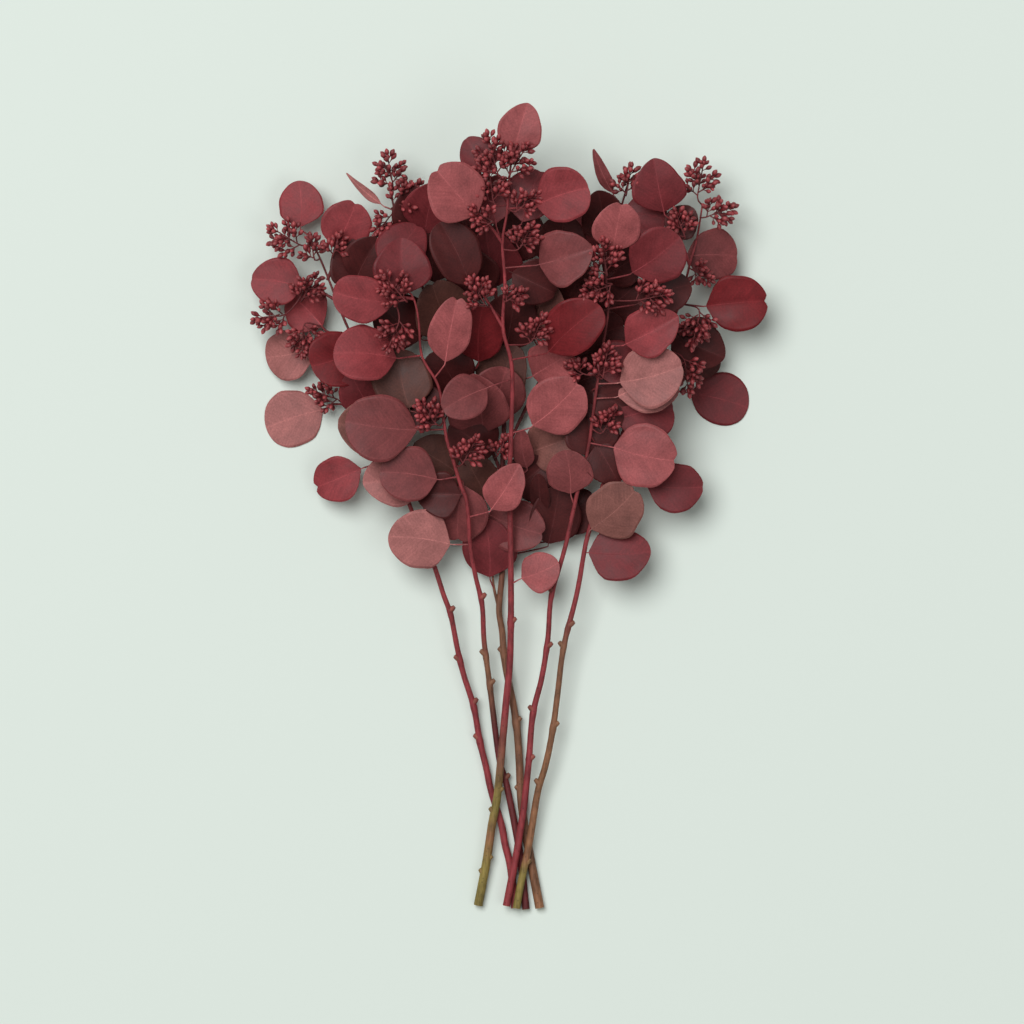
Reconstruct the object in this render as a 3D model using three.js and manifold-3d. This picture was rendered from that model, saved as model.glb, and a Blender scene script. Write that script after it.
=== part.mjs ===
// A loose bunch of six cut eucalyptus branches, lying on a flat surface.
// Each branch is one solid: woody stem, side twigs, leaf scars, round leaves on their stalks, sprays of buds.
// Millimetres. +Y runs from the cut ends to the tips, +X to the right seen from above, +Z up.
// The origin is the middle of the bunch's footprint, on the surface it lies on.
import * as THREE from "three";
import { mergeVertices } from "three/addons/utils/BufferGeometryUtils.js";
import Module from "manifold-3d";

const wasm = await Module();
wasm.setup();

// Leaf blades
const BLADE_THICKNESS = 0.7;
const FLAT_HEIGHT = BLADE_THICKNESS / 2; // centre height of a blade that lies on the surface
const BLADE_OUTLINE = [
  // share of the length, share of the half width
  [0.14, 0.6],
  [0.4, 0.99],
  [0.7, 0.9],
  [0.93, 0.48],
];
const BLADE_CUP = 0.13; // rise of the edge over the midrib, as a share of the half width
const CUP_SPREAD = 1.1; // how much the cup differs from leaf to leaf, as a share of it
const BLADE_ARCH = 0.045; // fall of base and tip below the middle, as a share of the length
const ARCH_SPREAD = 0.6;
const BLADE_ROLL = 13; // most that a blade leans to one side, in degrees
const STALK_REACH = 11; // how far behind the blade its stalk looks for wood
const STALK_RADIUS = [0.75, 0.65]; // at the wood, at the blade
const STALK_CLEARANCE = 0.05; // from the surface, for the stalk of a leaf that lies flat
const PITCH_SHARE = 0.8; // the blade's slope as a share of the slope from the wood to its middle

// Wood
const STEM_SIDES = 5;
const TWIG_SIDES = 3;
const TWIG_RADIUS = [1.5, 0.9];
const SCAR_LENGTH = 5.5; // from the stem's centre line to the scar's face, past the bark
const SCAR_RADIUS = [2.5, 1.9];
const SCAR_FORWARD = 0.8; // lean of a scar towards the tip: 0 is straight out
const SCAR_RISE = 0.15;
const STEM_STEP = 31; // spacing of the rings along a stem
const TWIG_STEP = 28;

// Bud sprays
const SPRAY_AXIS_RADII = [0.7, 0.7, 0.6]; // at the wood, where the umbels begin, at the end
const AXIS_BEFORE = 0.5; // axis before and past the spray's middle, as shares of its size
const AXIS_PAST = 0.45;
const UMBEL_SPACING = 11; // one umbel for each such length of a spray
const LAST_UMBEL = 0.95; // place of the end umbel along the axis
const MOST_UMBELS = 3;
const PEDUNCLE_RADIUS = 0.65;
const PEDUNCLE_SHARE = 0.5; // peduncle's length as a share of the spray's size
const LAST_PEDUNCLE_SHARE = 0.3;
const PEDUNCLE_FORWARD = 0.6; // lean of the peduncles towards the spray's end
const PEDUNCLE_RISE = 0.25; // slope of the peduncles, up from the axis
const BUD_LENGTH = 8; // with its pedicel
const BUD_RADIUS = 2.1;
const BUD_WIDEST = 0.66; // share of the length at the widest point
const BUD_FORWARD = 0.8; // how far the buds of an umbel lean forward: 0 is straight out to the sides
const GOLDEN_ANGLE = THREE.MathUtils.degToRad(137.5);

const WELD_GAP = 1e-5; // corners closer than this become one

// The branches. stem and twigs: x, y, z of the centre line. radius: at the cut end, at the tip.
// scars: y on the stem, side (1 right, -1 left). leaves: x, y, z of the blade's middle, heading in degrees
// from +X, length, width. sprays: x, y, z of the middle, heading, size.
const BRANCHES = [
  {
    name: "branch_front",
    radius: [4.0, 0.9],
    stem: [
      [-24.8, -316.8, 4.3], [-18.4, -283, 7.6], [-13.6, -251, 9.7], [-9.6, -230, 11.7],
      [-6.4, -198, 15.6], [-2.4, -154, 19.6], [0.8, -118, 23], [1.6, -70, 28], [1.2, -22, 34],
      [0.4, 26, 41], [1.6, 58, 49], [2.4, 114, 62], [-4.8, 147, 69], [-3.2, 182, 77],
      [-5.2, 214, 84], [-1.6, 238, 89], [0, 262, 91], [2.4, 284, 91],
    ],
    twigs: [
      [[-4.8, 147, 69], [-14, 163, 72], [-22, 175, 75]],
      [[-5.2, 214, 84], [-14, 226, 90], [-21, 234, 95]],
    ],
    scars: [[-294, -1], [-283, 1], [-244, -1], [-226, 1], [-89, 1]],
    leaves: [
      [24.8, -47, 37, 23, 33, 32], [37.6, 86, 64, 43, 53, 47], [-35.2, 90, 70, 207, 41, 38],
      [51.2, 145, 84, 41, 58, 42], [44.8, 203, 93, 16, 46, 46], [-42.4, 205, 85, 116, 56, 40],
      [-41.6, 254, 106, 132, 51, 48], [42.4, 250, 102, 18, 46, 43], [9.6, 305, 94, 74, 41, 35],
      [-24, 285, 84, 130, 34, 29], [18, 252, 80, 70, 44, 40], [20.8, 182, 70, 335, 40, 36],
      [-12, 250, 76, 95, 40, 34],
    ],
    sprays: [
      [-11, 278, 97, 105, 24], [5, 275, 98, 60, 20], [-17.6, 233, 99, 150, 14], [11, 243, 96, 40, 14],
      [11, 215, 92, 60, 15], [-22.4, 171, 81, 120, 17], [20, 141, 80, 60, 15], [1.6, 170, 82, 30, 11],
      [-13, 254, 94, 100, 20],
    ],
  },
  {
    name: "branch_left_centre",
    radius: [3.4, 0.8],
    stem: [
      [13.6, -320, 3.6], [8.5, -274, 4.2], [-1.5, -222, 5.6], [-8, -198, 6.6], [-15.2, -142, 12],
      [-20, -104, 18], [-21.6, -75, 23], [-27.2, -50, 29], [-31.2, -26, 36], [-33.6, 7, 44],
      [-39.2, 23, 47], [-44.8, 42, 51], [-50.4, 61, 54], [-54.4, 92, 58], [-58.4, 105, 60],
      [-69.6, 125, 63], [-72, 152, 67], [-76, 170, 69], [-83, 179, 70],
    ],
    twigs: [[[-76, 170, 69], [-86, 171, 71], [-94, 170, 72]]],
    scars: [[-215, 1], [-140, 1], [-116, -1], [-70, 1]],
    leaves: [
      [-72, -23, 40, 173, 50, 48], [-39.2, -2, 33, 265, 48, 48], [-80.8, 29, 53, 173, 47, 47],
      [-101.6, 69, 63, 173, 58, 53], [-3.2, 20, 54, 58, 44, 32], [-114.4, 125, 73, 176, 51, 46],
      [-45.6, 145, 78, 79, 56, 34], [-116, 171, 77, 170, 50, 36], [-84.8, 196, 72, 92, 45, 46],
      [-84, 107, 54, 100, 48, 50], [-84, 210, 60, 60, 48, 40],
      [-57, 14, 41, 180, 36, 36], [-70, 86, 47, 160, 40, 38],
    ],
    sprays: [
      [-88, 175, 80, 130, 20], [-90.4, 145, 82, 250, 18], [-61.6, 75, 63, 130, 15], [-33.6, 45, 57, 60, 16],
    ],
  },
  {
    name: "branch_right_centre",
    radius: [3.4, 0.8],
    stem: [
      [-2, -317, 9.4], [2, -296, 10.4], [5.2, -280, 11.2], [9.3, -255, 12.8], [11.8, -239, 13.7],
      [15.8, -202, 16], [19.2, -163, 18], [26.4, -133, 20], [31.2, -102, 22.5], [33.6, -70, 26],
      [40, -46, 29.5], [45.6, -26, 33], [54.4, 14, 41], [63.2, 50, 50], [69.6, 96, 61],
      [75.2, 134, 68], [79.2, 162, 72], [77.6, 182, 76], [76, 200, 80],
    ],
    twigs: [],
    scars: [[-201, 1], [-162, -1], [-110, 1], [-66, -1]],
    leaves: [
      [47.2, 32, 48, 97, 36, 37], [108.8, 46, 57, -12, 52, 52], [113.6, 110, 72, 15, 53, 53],
      [111, 101, 60, 20, 50, 48], [113.6, 145, 77, 28, 48, 40], [116.8, 204, 87, 37, 48, 46],
      [86.4, 226, 96, 80, 42, 38], [108.8, 78, 50, 10, 48, 44], [79, 38, 47, 300, 36, 34],
      [124.8, 174, 66, 20, 46, 40], [88, 118, 57, 20, 38, 36], [66, 66, 48, 100, 44, 42],
      [84, 86, 54, -30, 38, 36],
    ],
    sprays: [
      [76, 200, 88, 100, 24], [74, 178, 84, 200, 17], [109.6, 170, 82, 10, 20], [76, 115, 72, 80, 17],
      [77.6, 69, 60, 60, 14], [56.8, 112, 66, 150, 9],
    ],
  },
  {
    name: "branch_right",
    radius: [3.4, 0.8],
    stem: [
      [6, -319, 9.9], [9.3, -300, 10.5], [13.6, -280, 11.3], [17.6, -259, 12.3], [23.2, -225, 14.8],
      [29.6, -203, 16.8], [35.2, -175, 18.6], [39.2, -145, 20.6], [44, -108, 23.5], [54.4, -66, 28],
      [60, -34, 31.5], [63.2, -19, 33], [72.8, 14, 37], [87.2, 54, 39], [104.8, 94, 39],
      [122.4, 134, 38], [136.8, 167, 37], [144.8, 198, 36], [150.4, 218, 34], [155.2, 246, 33],
    ],
    twigs: [
      [[104.8, 94, 39], [122, 97, 24], [138, 97, 6]],
      [[144.8, 198, 36], [136, 222, 44], [128, 236, 48]],
      [[74, 18, 37], [88, 22, 37], [100, 22, 37]],
    ],
    scars: [[-285, 1], [-221, -1], [-174, 1], [-109, -1], [-94, 1]],
    leaves: [
      [88.8, -32, 35, 1, 50, 43], [84, 2, 46, 42, 50, 46], [133.6, 21, 36, -2, 46, 41],
      [169.6, 90, FLAT_HEIGHT, -14, 48, 42], [152, 134, 32, 335, 48, 42], [153, 121, 18, 300, 36, 34],
      [183.2, 167, 38, 5, 50, 47], [163.2, 205, 28, 0, 43, 42], [120, 261, 56, 101, 44, 42],
      [139.2, 232, 42, 60, 30, 28],
    ],
    sprays: [
      [152.8, 262, 40, 80, 20], [164.8, 239, 38, 20, 16], [138.4, 226, 50, 110, 15],
      [150.4, 192, 42, 330, 12], [150.4, 152, 46, 260, 20], [140.8, 114, 44, 280, 20],
    ],
  },
  {
    name: "branch_left",
    radius: [3.4, 0.8],
    stem: [
      [4.8, -319, 3.6], [1.1, -286, 3.8], [-3.2, -268, 3.9], [-6.4, -251, 4], [-14.4, -225, 4.5],
      [-18.4, -206, 5.2], [-23.5, -185, 6.5], [-28.4, -157, 9], [-36.8, -130, 12], [-41.9, -108, 15],
      [-46.8, -83, 18.5], [-52.8, -66, 21], [-59.2, -46, 23], [-68, -22, 26], [-79.2, 4, 30],
      [-92.8, 46, 34], [-107.2, 86, 37], [-121.6, 130, 38], [-132.8, 156, 37], [-144.8, 187, 34],
      [-152.8, 206, 30], [-161.6, 224, 26],
    ],
    twigs: [
      [[-139, 170, 36], [-153.6, 178, 31], [-162, 180, 27]],
      [[-126.4, 142, 38], [-144, 144, 32], [-150.4, 149, 27]],
      [[-104.8, 80, 37], [-127.2, 86, 20], [-142, 87, 5]],
      [[-145.6, 186, 34], [-142, 196, 36], [-140, 204, 38]],
    ],
    scars: [[-185, -1], [-157, 1], [-120, -1], [-82, 1]],
    leaves: [
      [-168.3, 248, 24, 92, 37, 36], [-131, 230, 44, 65, 41, 41], [-187.2, 184, 26, 171, 42, 41],
      [-176.8, 128, 14, 190, 44, 40], [-164, 163, 14, 135, 40, 38], [-173.2, 75, FLAT_HEIGHT, 198, 48, 47],
      [-138.4, 27, 22, 202, 42, 37], [-138.4, 124, 46, 200, 44, 44], [-94.4, 27, 40, 190, 46, 46],
      [-115.2, 70, 46, 178, 46, 46], [-117.6, 96, 47, 120, 38, 34], [-125.6, 200, 40, 110, 42, 38],
      [-113, 202, 50, 60, 40, 36],
    ],
    sprays: [
      [-175.2, 219, 30, 150, 20], [-156.8, 208, 36, 100, 12], [-139.2, 210, 48, 70, 11],
      [-187.2, 158, 30, 190, 18], [-162.4, 176, 36, 60, 17], [-164.8, 142, 30, 265, 18],
      [-144.8, 93, 16, 160, 16],
    ],
  },
  {
    name: "branch_back",
    radius: [4.0, 1.0],
    stem: [
      [24.8, -319, 4.1], [20, -294, 4.2], [15.6, -270, 4.4], [12.6, -254, 4.6], [9.6, -230, 5],
      [8.4, -202, 5.6], [6.4, -175, 6.6], [3.2, -154, 7.2], [-3.2, -122, 8], [-5.6, -96, 8.8],
      [-8, -78, 9.4], [-5.6, -50, 10], [-4.8, -22, 11], [-5.6, 26, 13], [-4, 82, 15],
      [-7.2, 138, 17], [-12, 186, 18], [-16.8, 226, 20], [-21.6, 258, 22],
    ],
    twigs: [
      [[-8, -78, 9.4], [-12, -62, 10.5], [-13.6, -48, 12]],
      [[-5.6, 30, 13], [-31, 90, 16], [-55, 146, 20], [-75, 194, 26], [-89, 230, 31], [-95, 258, 34]],
      [[-4.8, 46, 14], [25, 106, 17], [57, 162, 22], [77, 210, 28], [89, 242, 33], [95, 262, 36]],
    ],
    scars: [[-225, -1], [-170, 1], [-113, -1]],
    leaves: [
      [-17.6, -29, 20, 95, 48, 44], [5.6, -10, 26, -20, 50, 42], [-60, 42, 26, 150, 44, 42],
      [-24, 26, 28, 120, 40, 36], [-24.8, 86, 42, 100, 54, 50], [-9.6, 95, 34, 70, 46, 42],
      [-53.6, 162, 46, 110, 52, 48], [-22.4, 142, 54, 85, 54, 44], [-74, 240, 46, 105, 46, 40],
      [-61.6, 243, 56, 75, 48, 40], [25.6, 162, 42, 75, 50, 46], [34.4, 54, 32, 20, 44, 40],
      [12, 50, 38, 100, 37, 17], [24.8, 14, 34, 95, 38, 16], [36, -2, 24, 80, 50, 42],
      [55, 0, 14, 70, 40, 34], [34.4, 118, 50, 30, 46, 40], [-4, 114, 28, 60, 46, 44],
      [72.8, 238, 48, 95, 42, 38], [-117, 260, 40, 138, 40, 7], [75.2, 274, 44, 114, 41, 11],
      [-62, 238, FLAT_HEIGHT, 120, 46, 44], [56, 228, FLAT_HEIGHT, 60, 46, 44],
      [88.8, 170, 36, 40, 46, 44], [72.8, 142, 30, 20, 46, 44], [52.8, 178, 40, 60, 48, 44],
      [40.8, 218, 36, 80, 46, 44], [-31.2, 190, 40, 110, 48, 44], [-87.2, 154, 34, 140, 48, 46],
      [8.8, 222, 30, 80, 46, 42], [109, 238, 36, -10, 36, 34], [-28, 60, 30, 150, 46, 42],
      [2, 152, 40, 80, 52, 44], [62, 106, 32, 20, 46, 44], [-48, 112, 38, 120, 46, 44],
      [90, 198, 44, 30, 38, 36], [18, 28, 22, 40, 40, 38], [-14, 204, 40, 100, 52, 48],
      [-60, 204, 38, 90, 42, 40], [-34, 228, 28, 110, 40, 38],
    ],
    sprays: [
      [-94.4, 269, 42, 100, 18], [-85.6, 250, 50, 40, 20], [-97.6, 234, 44, 230, 14], [95.2, 261, 48, 80, 15],
      [-7.2, 49, 36, 60, 10],
    ],
  },
];

const FOLIAGE_COLOUR = 0x8c3f44;

const vector = (values) => new THREE.Vector3(...values);
const mix = (pair, share) => pair[0] + (pair[1] - pair[0]) * share;

// A repeatable value between -1 and 1 for the numbered thing, so that every build is the same.
function wobble(number, kind) {
  const wave = Math.sin(number * 12.9898 + kind * 78.233) * 43758.5453;
  return 2 * (wave - Math.floor(wave)) - 1;
}

// A solid from corner points and the triangles between them.
function solidOf(points, triangles) {
  const geometry = new THREE.BufferGeometry();
  geometry.setAttribute("position", new THREE.Float32BufferAttribute(points.flatMap((p) => p.toArray()), 3));
  geometry.setIndex(triangles.flat());
  const mesh = new wasm.Mesh({
    numProp: 3,
    vertProperties: geometry.attributes.position.array,
    triVerts: new Uint32Array(geometry.index.array),
  });
  return new wasm.Manifold(mesh);
}

// A closed round rod along the points, thick and thin as the radii say.
function rod(points, radii, sides) {
  const corners = [];
  const triangles = [];
  const along = points.map((point, i) => {
    const before = points[Math.max(i - 1, 0)];
    const after = points[Math.min(i + 1, points.length - 1)];
    return after.clone().sub(before).normalize();
  });
  const upright = new THREE.Vector3(0, 0, 1);
  points.forEach((point, ring) => {
    const side = new THREE.Vector3().crossVectors(along[ring], upright);
    if (side.length() < 0.1) {
      side.set(1, 0, 0);
    }
    side.normalize();
    const top = new THREE.Vector3().crossVectors(side, along[ring]);
    for (let k = 0; k < sides; k++) {
      const turn = (2 * Math.PI * k) / sides;
      const corner = point.clone();
      corner.addScaledVector(side, radii[ring] * Math.cos(turn));
      corner.addScaledVector(top, radii[ring] * Math.sin(turn));
      corners.push(corner);
    }
  });
  for (let ring = 0; ring + 1 < points.length; ring++) {
    for (let k = 0; k < sides; k++) {
      const a = ring * sides + k;
      const b = ring * sides + ((k + 1) % sides);
      triangles.push([a, a + sides, b], [b, a + sides, b + sides]);
    }
  }
  const last = (points.length - 1) * sides;
  for (let k = 1; k + 1 < sides; k++) {
    triangles.push([0, k, k + 1], [last, last + k + 1, last + k]);
  }
  return solidOf(corners, triangles);
}

// The centre line of a stem or twig: a smooth curve through its points, at even steps.
function centreLine(points, step) {
  const curve = new THREE.CatmullRomCurve3(points.map(vector), false, "catmullrom", 0.5);
  const count = Math.max(2, Math.round(curve.getLength() / step));
  return curve.getSpacedPoints(count);
}

function woodRod(line, radius, sides) {
  const radii = line.map((point, i) => mix(radius, i / (line.length - 1)));
  return rod(line, radii, sides);
}

// The point of the branch's wood nearest to a place.
function nearestWood(lines, place) {
  let best = lines[0][0];
  for (const line of lines) {
    for (let i = 0; i + 1 < line.length; i++) {
      const piece = new THREE.Line3(line[i], line[i + 1]);
      const point = piece.closestPointToPoint(place, true, new THREE.Vector3());
      if (point.distanceTo(place) < best.distanceTo(place)) {
        best = point;
      }
    }
  }
  return best;
}

// A leaf: a thin round blade, cupped and arched, at the end of a stalk that starts inside the wood.
// The blade follows the line from its place on the wood to its middle, so it rises or droops with it.
function leafSolid(row, number, lines) {
  const [x, y, z, heading, length, width] = row;
  const flat = z === FLAT_HEIGHT;
  const turn = THREE.MathUtils.degToRad(heading);
  const level = new THREE.Vector3(Math.cos(turn), Math.sin(turn), 0);
  const middle = new THREE.Vector3(x, y, z);
  const run = length / 2 + STALK_REACH;
  const root = nearestWood(lines, middle.clone().addScaledVector(level, -run));
  const pitch = flat ? 0 : Math.atan2(z - root.z, run) * PITCH_SHARE;
  const roll = flat ? 0 : THREE.MathUtils.degToRad(BLADE_ROLL * wobble(number, 1));
  const cup = flat ? 0 : BLADE_CUP * (1 + CUP_SPREAD * wobble(number, 2));
  const arch = flat ? 0 : BLADE_ARCH * (1 + ARCH_SPREAD * wobble(number, 3));

  const along = level.clone().multiplyScalar(Math.cos(pitch));
  along.z = Math.sin(pitch);
  const plainSide = new THREE.Vector3(-Math.sin(turn), Math.cos(turn), 0);
  const plainUp = new THREE.Vector3().crossVectors(along, plainSide);
  const side = plainSide.clone().multiplyScalar(Math.cos(roll)).addScaledVector(plainUp, Math.sin(roll));
  const up = new THREE.Vector3().crossVectors(along, side);

  const place = (share, across, lift) => {
    const point = middle.clone().addScaledVector(along, (share - 0.5) * length);
    point.addScaledVector(side, (across * width) / 2);
    const bend = cup * Math.abs(across) * (width / 2) - arch * length * (2 * share - 1) ** 2;
    return point.addScaledVector(up, bend + lift);
  };

  // Two rings of four corners make the stalk: above, left, below, right of its centre line.
  const base = place(0, 0, 0);
  base.z = Math.max(base.z, STALK_RADIUS[1] + STALK_CLEARANCE);
  const stalk = base.clone().sub(root).normalize();
  const stalkSide = side.clone().addScaledVector(stalk, -side.dot(stalk)).normalize();
  const stalkUp = new THREE.Vector3().crossVectors(stalk, stalkSide);
  const ring = (centre, sideways, upwards, radius) =>
    [[0, 1], [1, 0], [0, -1], [-1, 0]].map(([across, lift]) =>
      centre.clone().addScaledVector(sideways, across * radius).addScaledVector(upwards, lift * radius),
    );
  const atWood = ring(root, stalkSide, stalkUp, STALK_RADIUS[0]);
  const atBlade = ring(base, side, up, STALK_RADIUS[1]);
  const corners = [...atWood, ...atBlade];
  const triangles = [[0, 1, 2], [0, 2, 3]];
  for (let k = 0; k < 4; k++) {
    const next = (k + 1) % 4;
    triangles.push([k, k + 4, next], [next, k + 4, next + 4]);
  }

  // Rows of six corners make the blade: left, midrib and right, above and then below.
  const [above, left, below, right] = [4, 5, 6, 7];
  const first = corners.length;
  for (const [share, half] of BLADE_OUTLINE) {
    for (const lift of [BLADE_THICKNESS / 2, -BLADE_THICKNESS / 2]) {
      corners.push(place(share, half, lift), place(share, 0, lift), place(share, -half, lift));
    }
  }
  triangles.push([above, first + 1, first], [above, first + 2, first + 1], [above, first, left]);
  triangles.push([above, right, first + 2], [left, first, first + 3], [right, first + 5, first + 2]);
  triangles.push([below, first + 3, first + 4], [below, first + 4, first + 5], [below, left, first + 3]);
  triangles.push([below, first + 5, right]);
  let here = first;
  for (let row = 1; row < BLADE_OUTLINE.length; row++) {
    const next = here + 6;
    for (const k of [0, 1]) {
      triangles.push([here + k, here + k + 1, next + k], [here + k + 1, next + k + 1, next + k]);
      triangles.push([here + k + 3, next + k + 3, here + k + 4], [here + k + 4, next + k + 3, next + k + 4]);
    }
    triangles.push([here, next, here + 3], [next, next + 3, here + 3]);
    triangles.push([here + 2, here + 5, next + 2], [next + 2, here + 5, next + 5]);
    here = next;
  }
  const tip = corners.length;
  corners.push(place(1, 0, BLADE_THICKNESS / 2), place(1, 0, -BLADE_THICKNESS / 2));
  triangles.push([here, here + 1, tip], [here + 1, here + 2, tip]);
  triangles.push([here + 3, tip + 1, here + 4], [here + 4, tip + 1, here + 5]);
  triangles.push([here, tip, here + 3], [tip, tip + 1, here + 3]);
  triangles.push([here + 2, here + 5, tip], [tip, here + 5, tip + 1]);
  return solidOf(corners, triangles);
}

// An umbel: three buds fanned out from the end of a short peduncle. A bud is slim at its root on the crown,
// widest past the middle and pointed at the tip.
function umbelSolid(foot, crown, spin) {
  const outward = crown.clone().sub(foot).normalize();
  const across = new THREE.Vector3(0, 0, 1).cross(outward).normalize();
  const over = new THREE.Vector3().crossVectors(outward, across);
  const ring = (centre, radius) =>
    [0, 1, 2].map((k) => {
      const turn = spin + (2 * Math.PI * k) / 3;
      const point = centre.clone().addScaledVector(across, radius * Math.cos(turn));
      return point.addScaledVector(over, radius * Math.sin(turn));
    });
  const corners = [...ring(foot, PEDUNCLE_RADIUS), ...ring(crown, PEDUNCLE_RADIUS)];
  const apex = corners.length;
  corners.push(crown.clone().addScaledVector(outward, PEDUNCLE_RADIUS));
  const triangles = [[0, 2, 1]];
  for (let k = 0; k < 3; k++) {
    const next = (k + 1) % 3;
    triangles.push([k, next, k + 3], [next, next + 3, k + 3]);
    const root = [k + 3, next + 3, apex];
    const centre = new THREE.Vector3();
    root.forEach((corner) => centre.addScaledVector(corners[corner], 1 / 3));
    const fan = spin + (2 * Math.PI * (k + 0.5)) / 3;
    const direction = outward.clone().multiplyScalar(BUD_FORWARD);
    direction.addScaledVector(across, Math.cos(fan)).addScaledVector(over, Math.sin(fan)).normalize();
    const wide = corners.length;
    for (const corner of root) {
      const spoke = corners[corner].clone().sub(centre);
      spoke.addScaledVector(direction, -spoke.dot(direction)).normalize();
      const point = crown.clone().addScaledVector(direction, BUD_LENGTH * BUD_WIDEST);
      corners.push(point.addScaledVector(spoke, BUD_RADIUS));
    }
    const tip = corners.length;
    corners.push(crown.clone().addScaledVector(direction, BUD_LENGTH));
    for (let c = 0; c < 3; c++) {
      const beside = (c + 1) % 3;
      triangles.push([root[c], root[beside], wide + c], [root[beside], wide + beside, wide + c]);
      triangles.push([wide + c, wide + beside, tip]);
    }
  }
  return solidOf(corners, triangles);
}

// A spray of buds: a thin axis out of the wood, with umbels to the left and right and one at its end.
function spraySolid(row, lines) {
  const [x, y, z, heading, size] = row;
  const turn = THREE.MathUtils.degToRad(heading);
  const along = new THREE.Vector3(Math.cos(turn), Math.sin(turn), 0);
  const side = new THREE.Vector3(-Math.sin(turn), Math.cos(turn), 0);
  const start = new THREE.Vector3(x, y, z).addScaledVector(along, -size * AXIS_BEFORE);
  const end = new THREE.Vector3(x, y, z).addScaledVector(along, size * AXIS_PAST);
  const root = nearestWood(lines, start);
  let spray = rod([root, start, end], SPRAY_AXIS_RADII, 3);
  const umbels = Math.min(MOST_UMBELS, Math.max(1, Math.round(size / UMBEL_SPACING)));
  for (let u = 0; u < umbels; u++) {
    const last = u === umbels - 1;
    const foot = start.clone().lerp(end, last ? LAST_UMBEL : (u + 0.5) / umbels);
    const outward = side.clone().multiplyScalar(last ? 0 : (-1) ** u);
    outward.addScaledVector(along, PEDUNCLE_FORWARD);
    outward.z = PEDUNCLE_RISE;
    outward.normalize();
    const crown = foot.clone().addScaledVector(outward, size * (last ? LAST_PEDUNCLE_SHARE : PEDUNCLE_SHARE));
    spray = spray.add(umbelSolid(foot, crown, u * GOLDEN_ANGLE));
  }
  return spray;
}

// A leaf scar: the short stub that a fallen leaf leaves on the side of the stem.
function scarSolid(line, height, sign) {
  const above = line.findIndex((point) => point.y > height);
  const from = line[above - 1];
  const to = line[above];
  const centre = from.clone().lerp(to, (height - from.y) / (to.y - from.y));
  const along = to.clone().sub(from).normalize();
  const outward = new THREE.Vector3(sign, 0, SCAR_RISE).addScaledVector(along, SCAR_FORWARD).normalize();
  const face = centre.clone().addScaledVector(outward, SCAR_LENGTH);
  return rod([centre, face], SCAR_RADIUS, TWIG_SIDES);
}

function branchSolid(branch) {
  const stem = centreLine(branch.stem, STEM_STEP);
  const twigs = branch.twigs.map((points) => centreLine(points, TWIG_STEP));
  const lines = [stem, ...twigs];
  let solid = woodRod(stem, branch.radius, STEM_SIDES);
  for (const line of twigs) {
    solid = solid.add(woodRod(line, TWIG_RADIUS, TWIG_SIDES));
  }
  for (const [height, sign] of branch.scars) {
    solid = solid.add(scarSolid(stem, height, sign));
  }
  branch.leaves.forEach((row, number) => {
    solid = solid.add(leafSolid(row, number, lines));
  });
  for (const row of branch.sprays) {
    solid = solid.add(spraySolid(row, lines));
  }
  return solid;
}

function meshOf(name, solid) {
  const parts = solid.getMesh();
  const geometry = new THREE.BufferGeometry();
  geometry.setAttribute("position", new THREE.Float32BufferAttribute(parts.vertProperties, parts.numProp));
  geometry.setIndex(new THREE.Uint32BufferAttribute(parts.triVerts, 1));
  const welded = mergeVertices(geometry, WELD_GAP);
  welded.computeVertexNormals();
  const material = new THREE.MeshStandardMaterial({ color: FOLIAGE_COLOUR, roughness: 0.6, metalness: 0 });
  const mesh = new THREE.Mesh(welded, material);
  mesh.name = name;
  return mesh;
}

const bunch = new THREE.Group();
bunch.name = "eucalyptus_bunch";
for (const branch of BRANCHES) {
  bunch.add(meshOf(branch.name, branchSolid(branch)));
}

export default bunch;
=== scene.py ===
import math
from collections import namedtuple
from functools import partial

import bpy
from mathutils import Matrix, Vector


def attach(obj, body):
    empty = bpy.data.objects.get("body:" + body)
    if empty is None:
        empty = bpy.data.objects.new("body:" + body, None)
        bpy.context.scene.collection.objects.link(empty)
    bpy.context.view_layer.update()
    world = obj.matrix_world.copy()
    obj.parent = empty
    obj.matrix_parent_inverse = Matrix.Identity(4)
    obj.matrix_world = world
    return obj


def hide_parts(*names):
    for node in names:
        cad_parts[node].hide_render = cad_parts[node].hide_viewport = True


# A loose bunch of six cut eucalyptus branches that lies on a pale surface, seen from straight above.
# Every branch has a woody stem, round leaves on stalks and sprays of buds, all grown together.
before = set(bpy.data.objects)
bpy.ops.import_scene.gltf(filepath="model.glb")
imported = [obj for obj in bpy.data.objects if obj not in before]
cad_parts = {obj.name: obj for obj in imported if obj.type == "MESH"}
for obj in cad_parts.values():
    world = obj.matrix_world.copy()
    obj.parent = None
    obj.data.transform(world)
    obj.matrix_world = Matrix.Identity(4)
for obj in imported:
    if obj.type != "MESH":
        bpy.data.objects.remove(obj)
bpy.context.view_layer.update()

# Stems and twigs
# Young eucalyptus wood with thin bark, 7 to 8 mm thick at the cut and thinner to the tip, with side twigs.
# Where a leaf has fallen, a short stub stays on the bark. The stems lie on one another near their cut ends.
MM = 0.001  # lengths of the plant are in millimetres, and the scene is in metres

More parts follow.
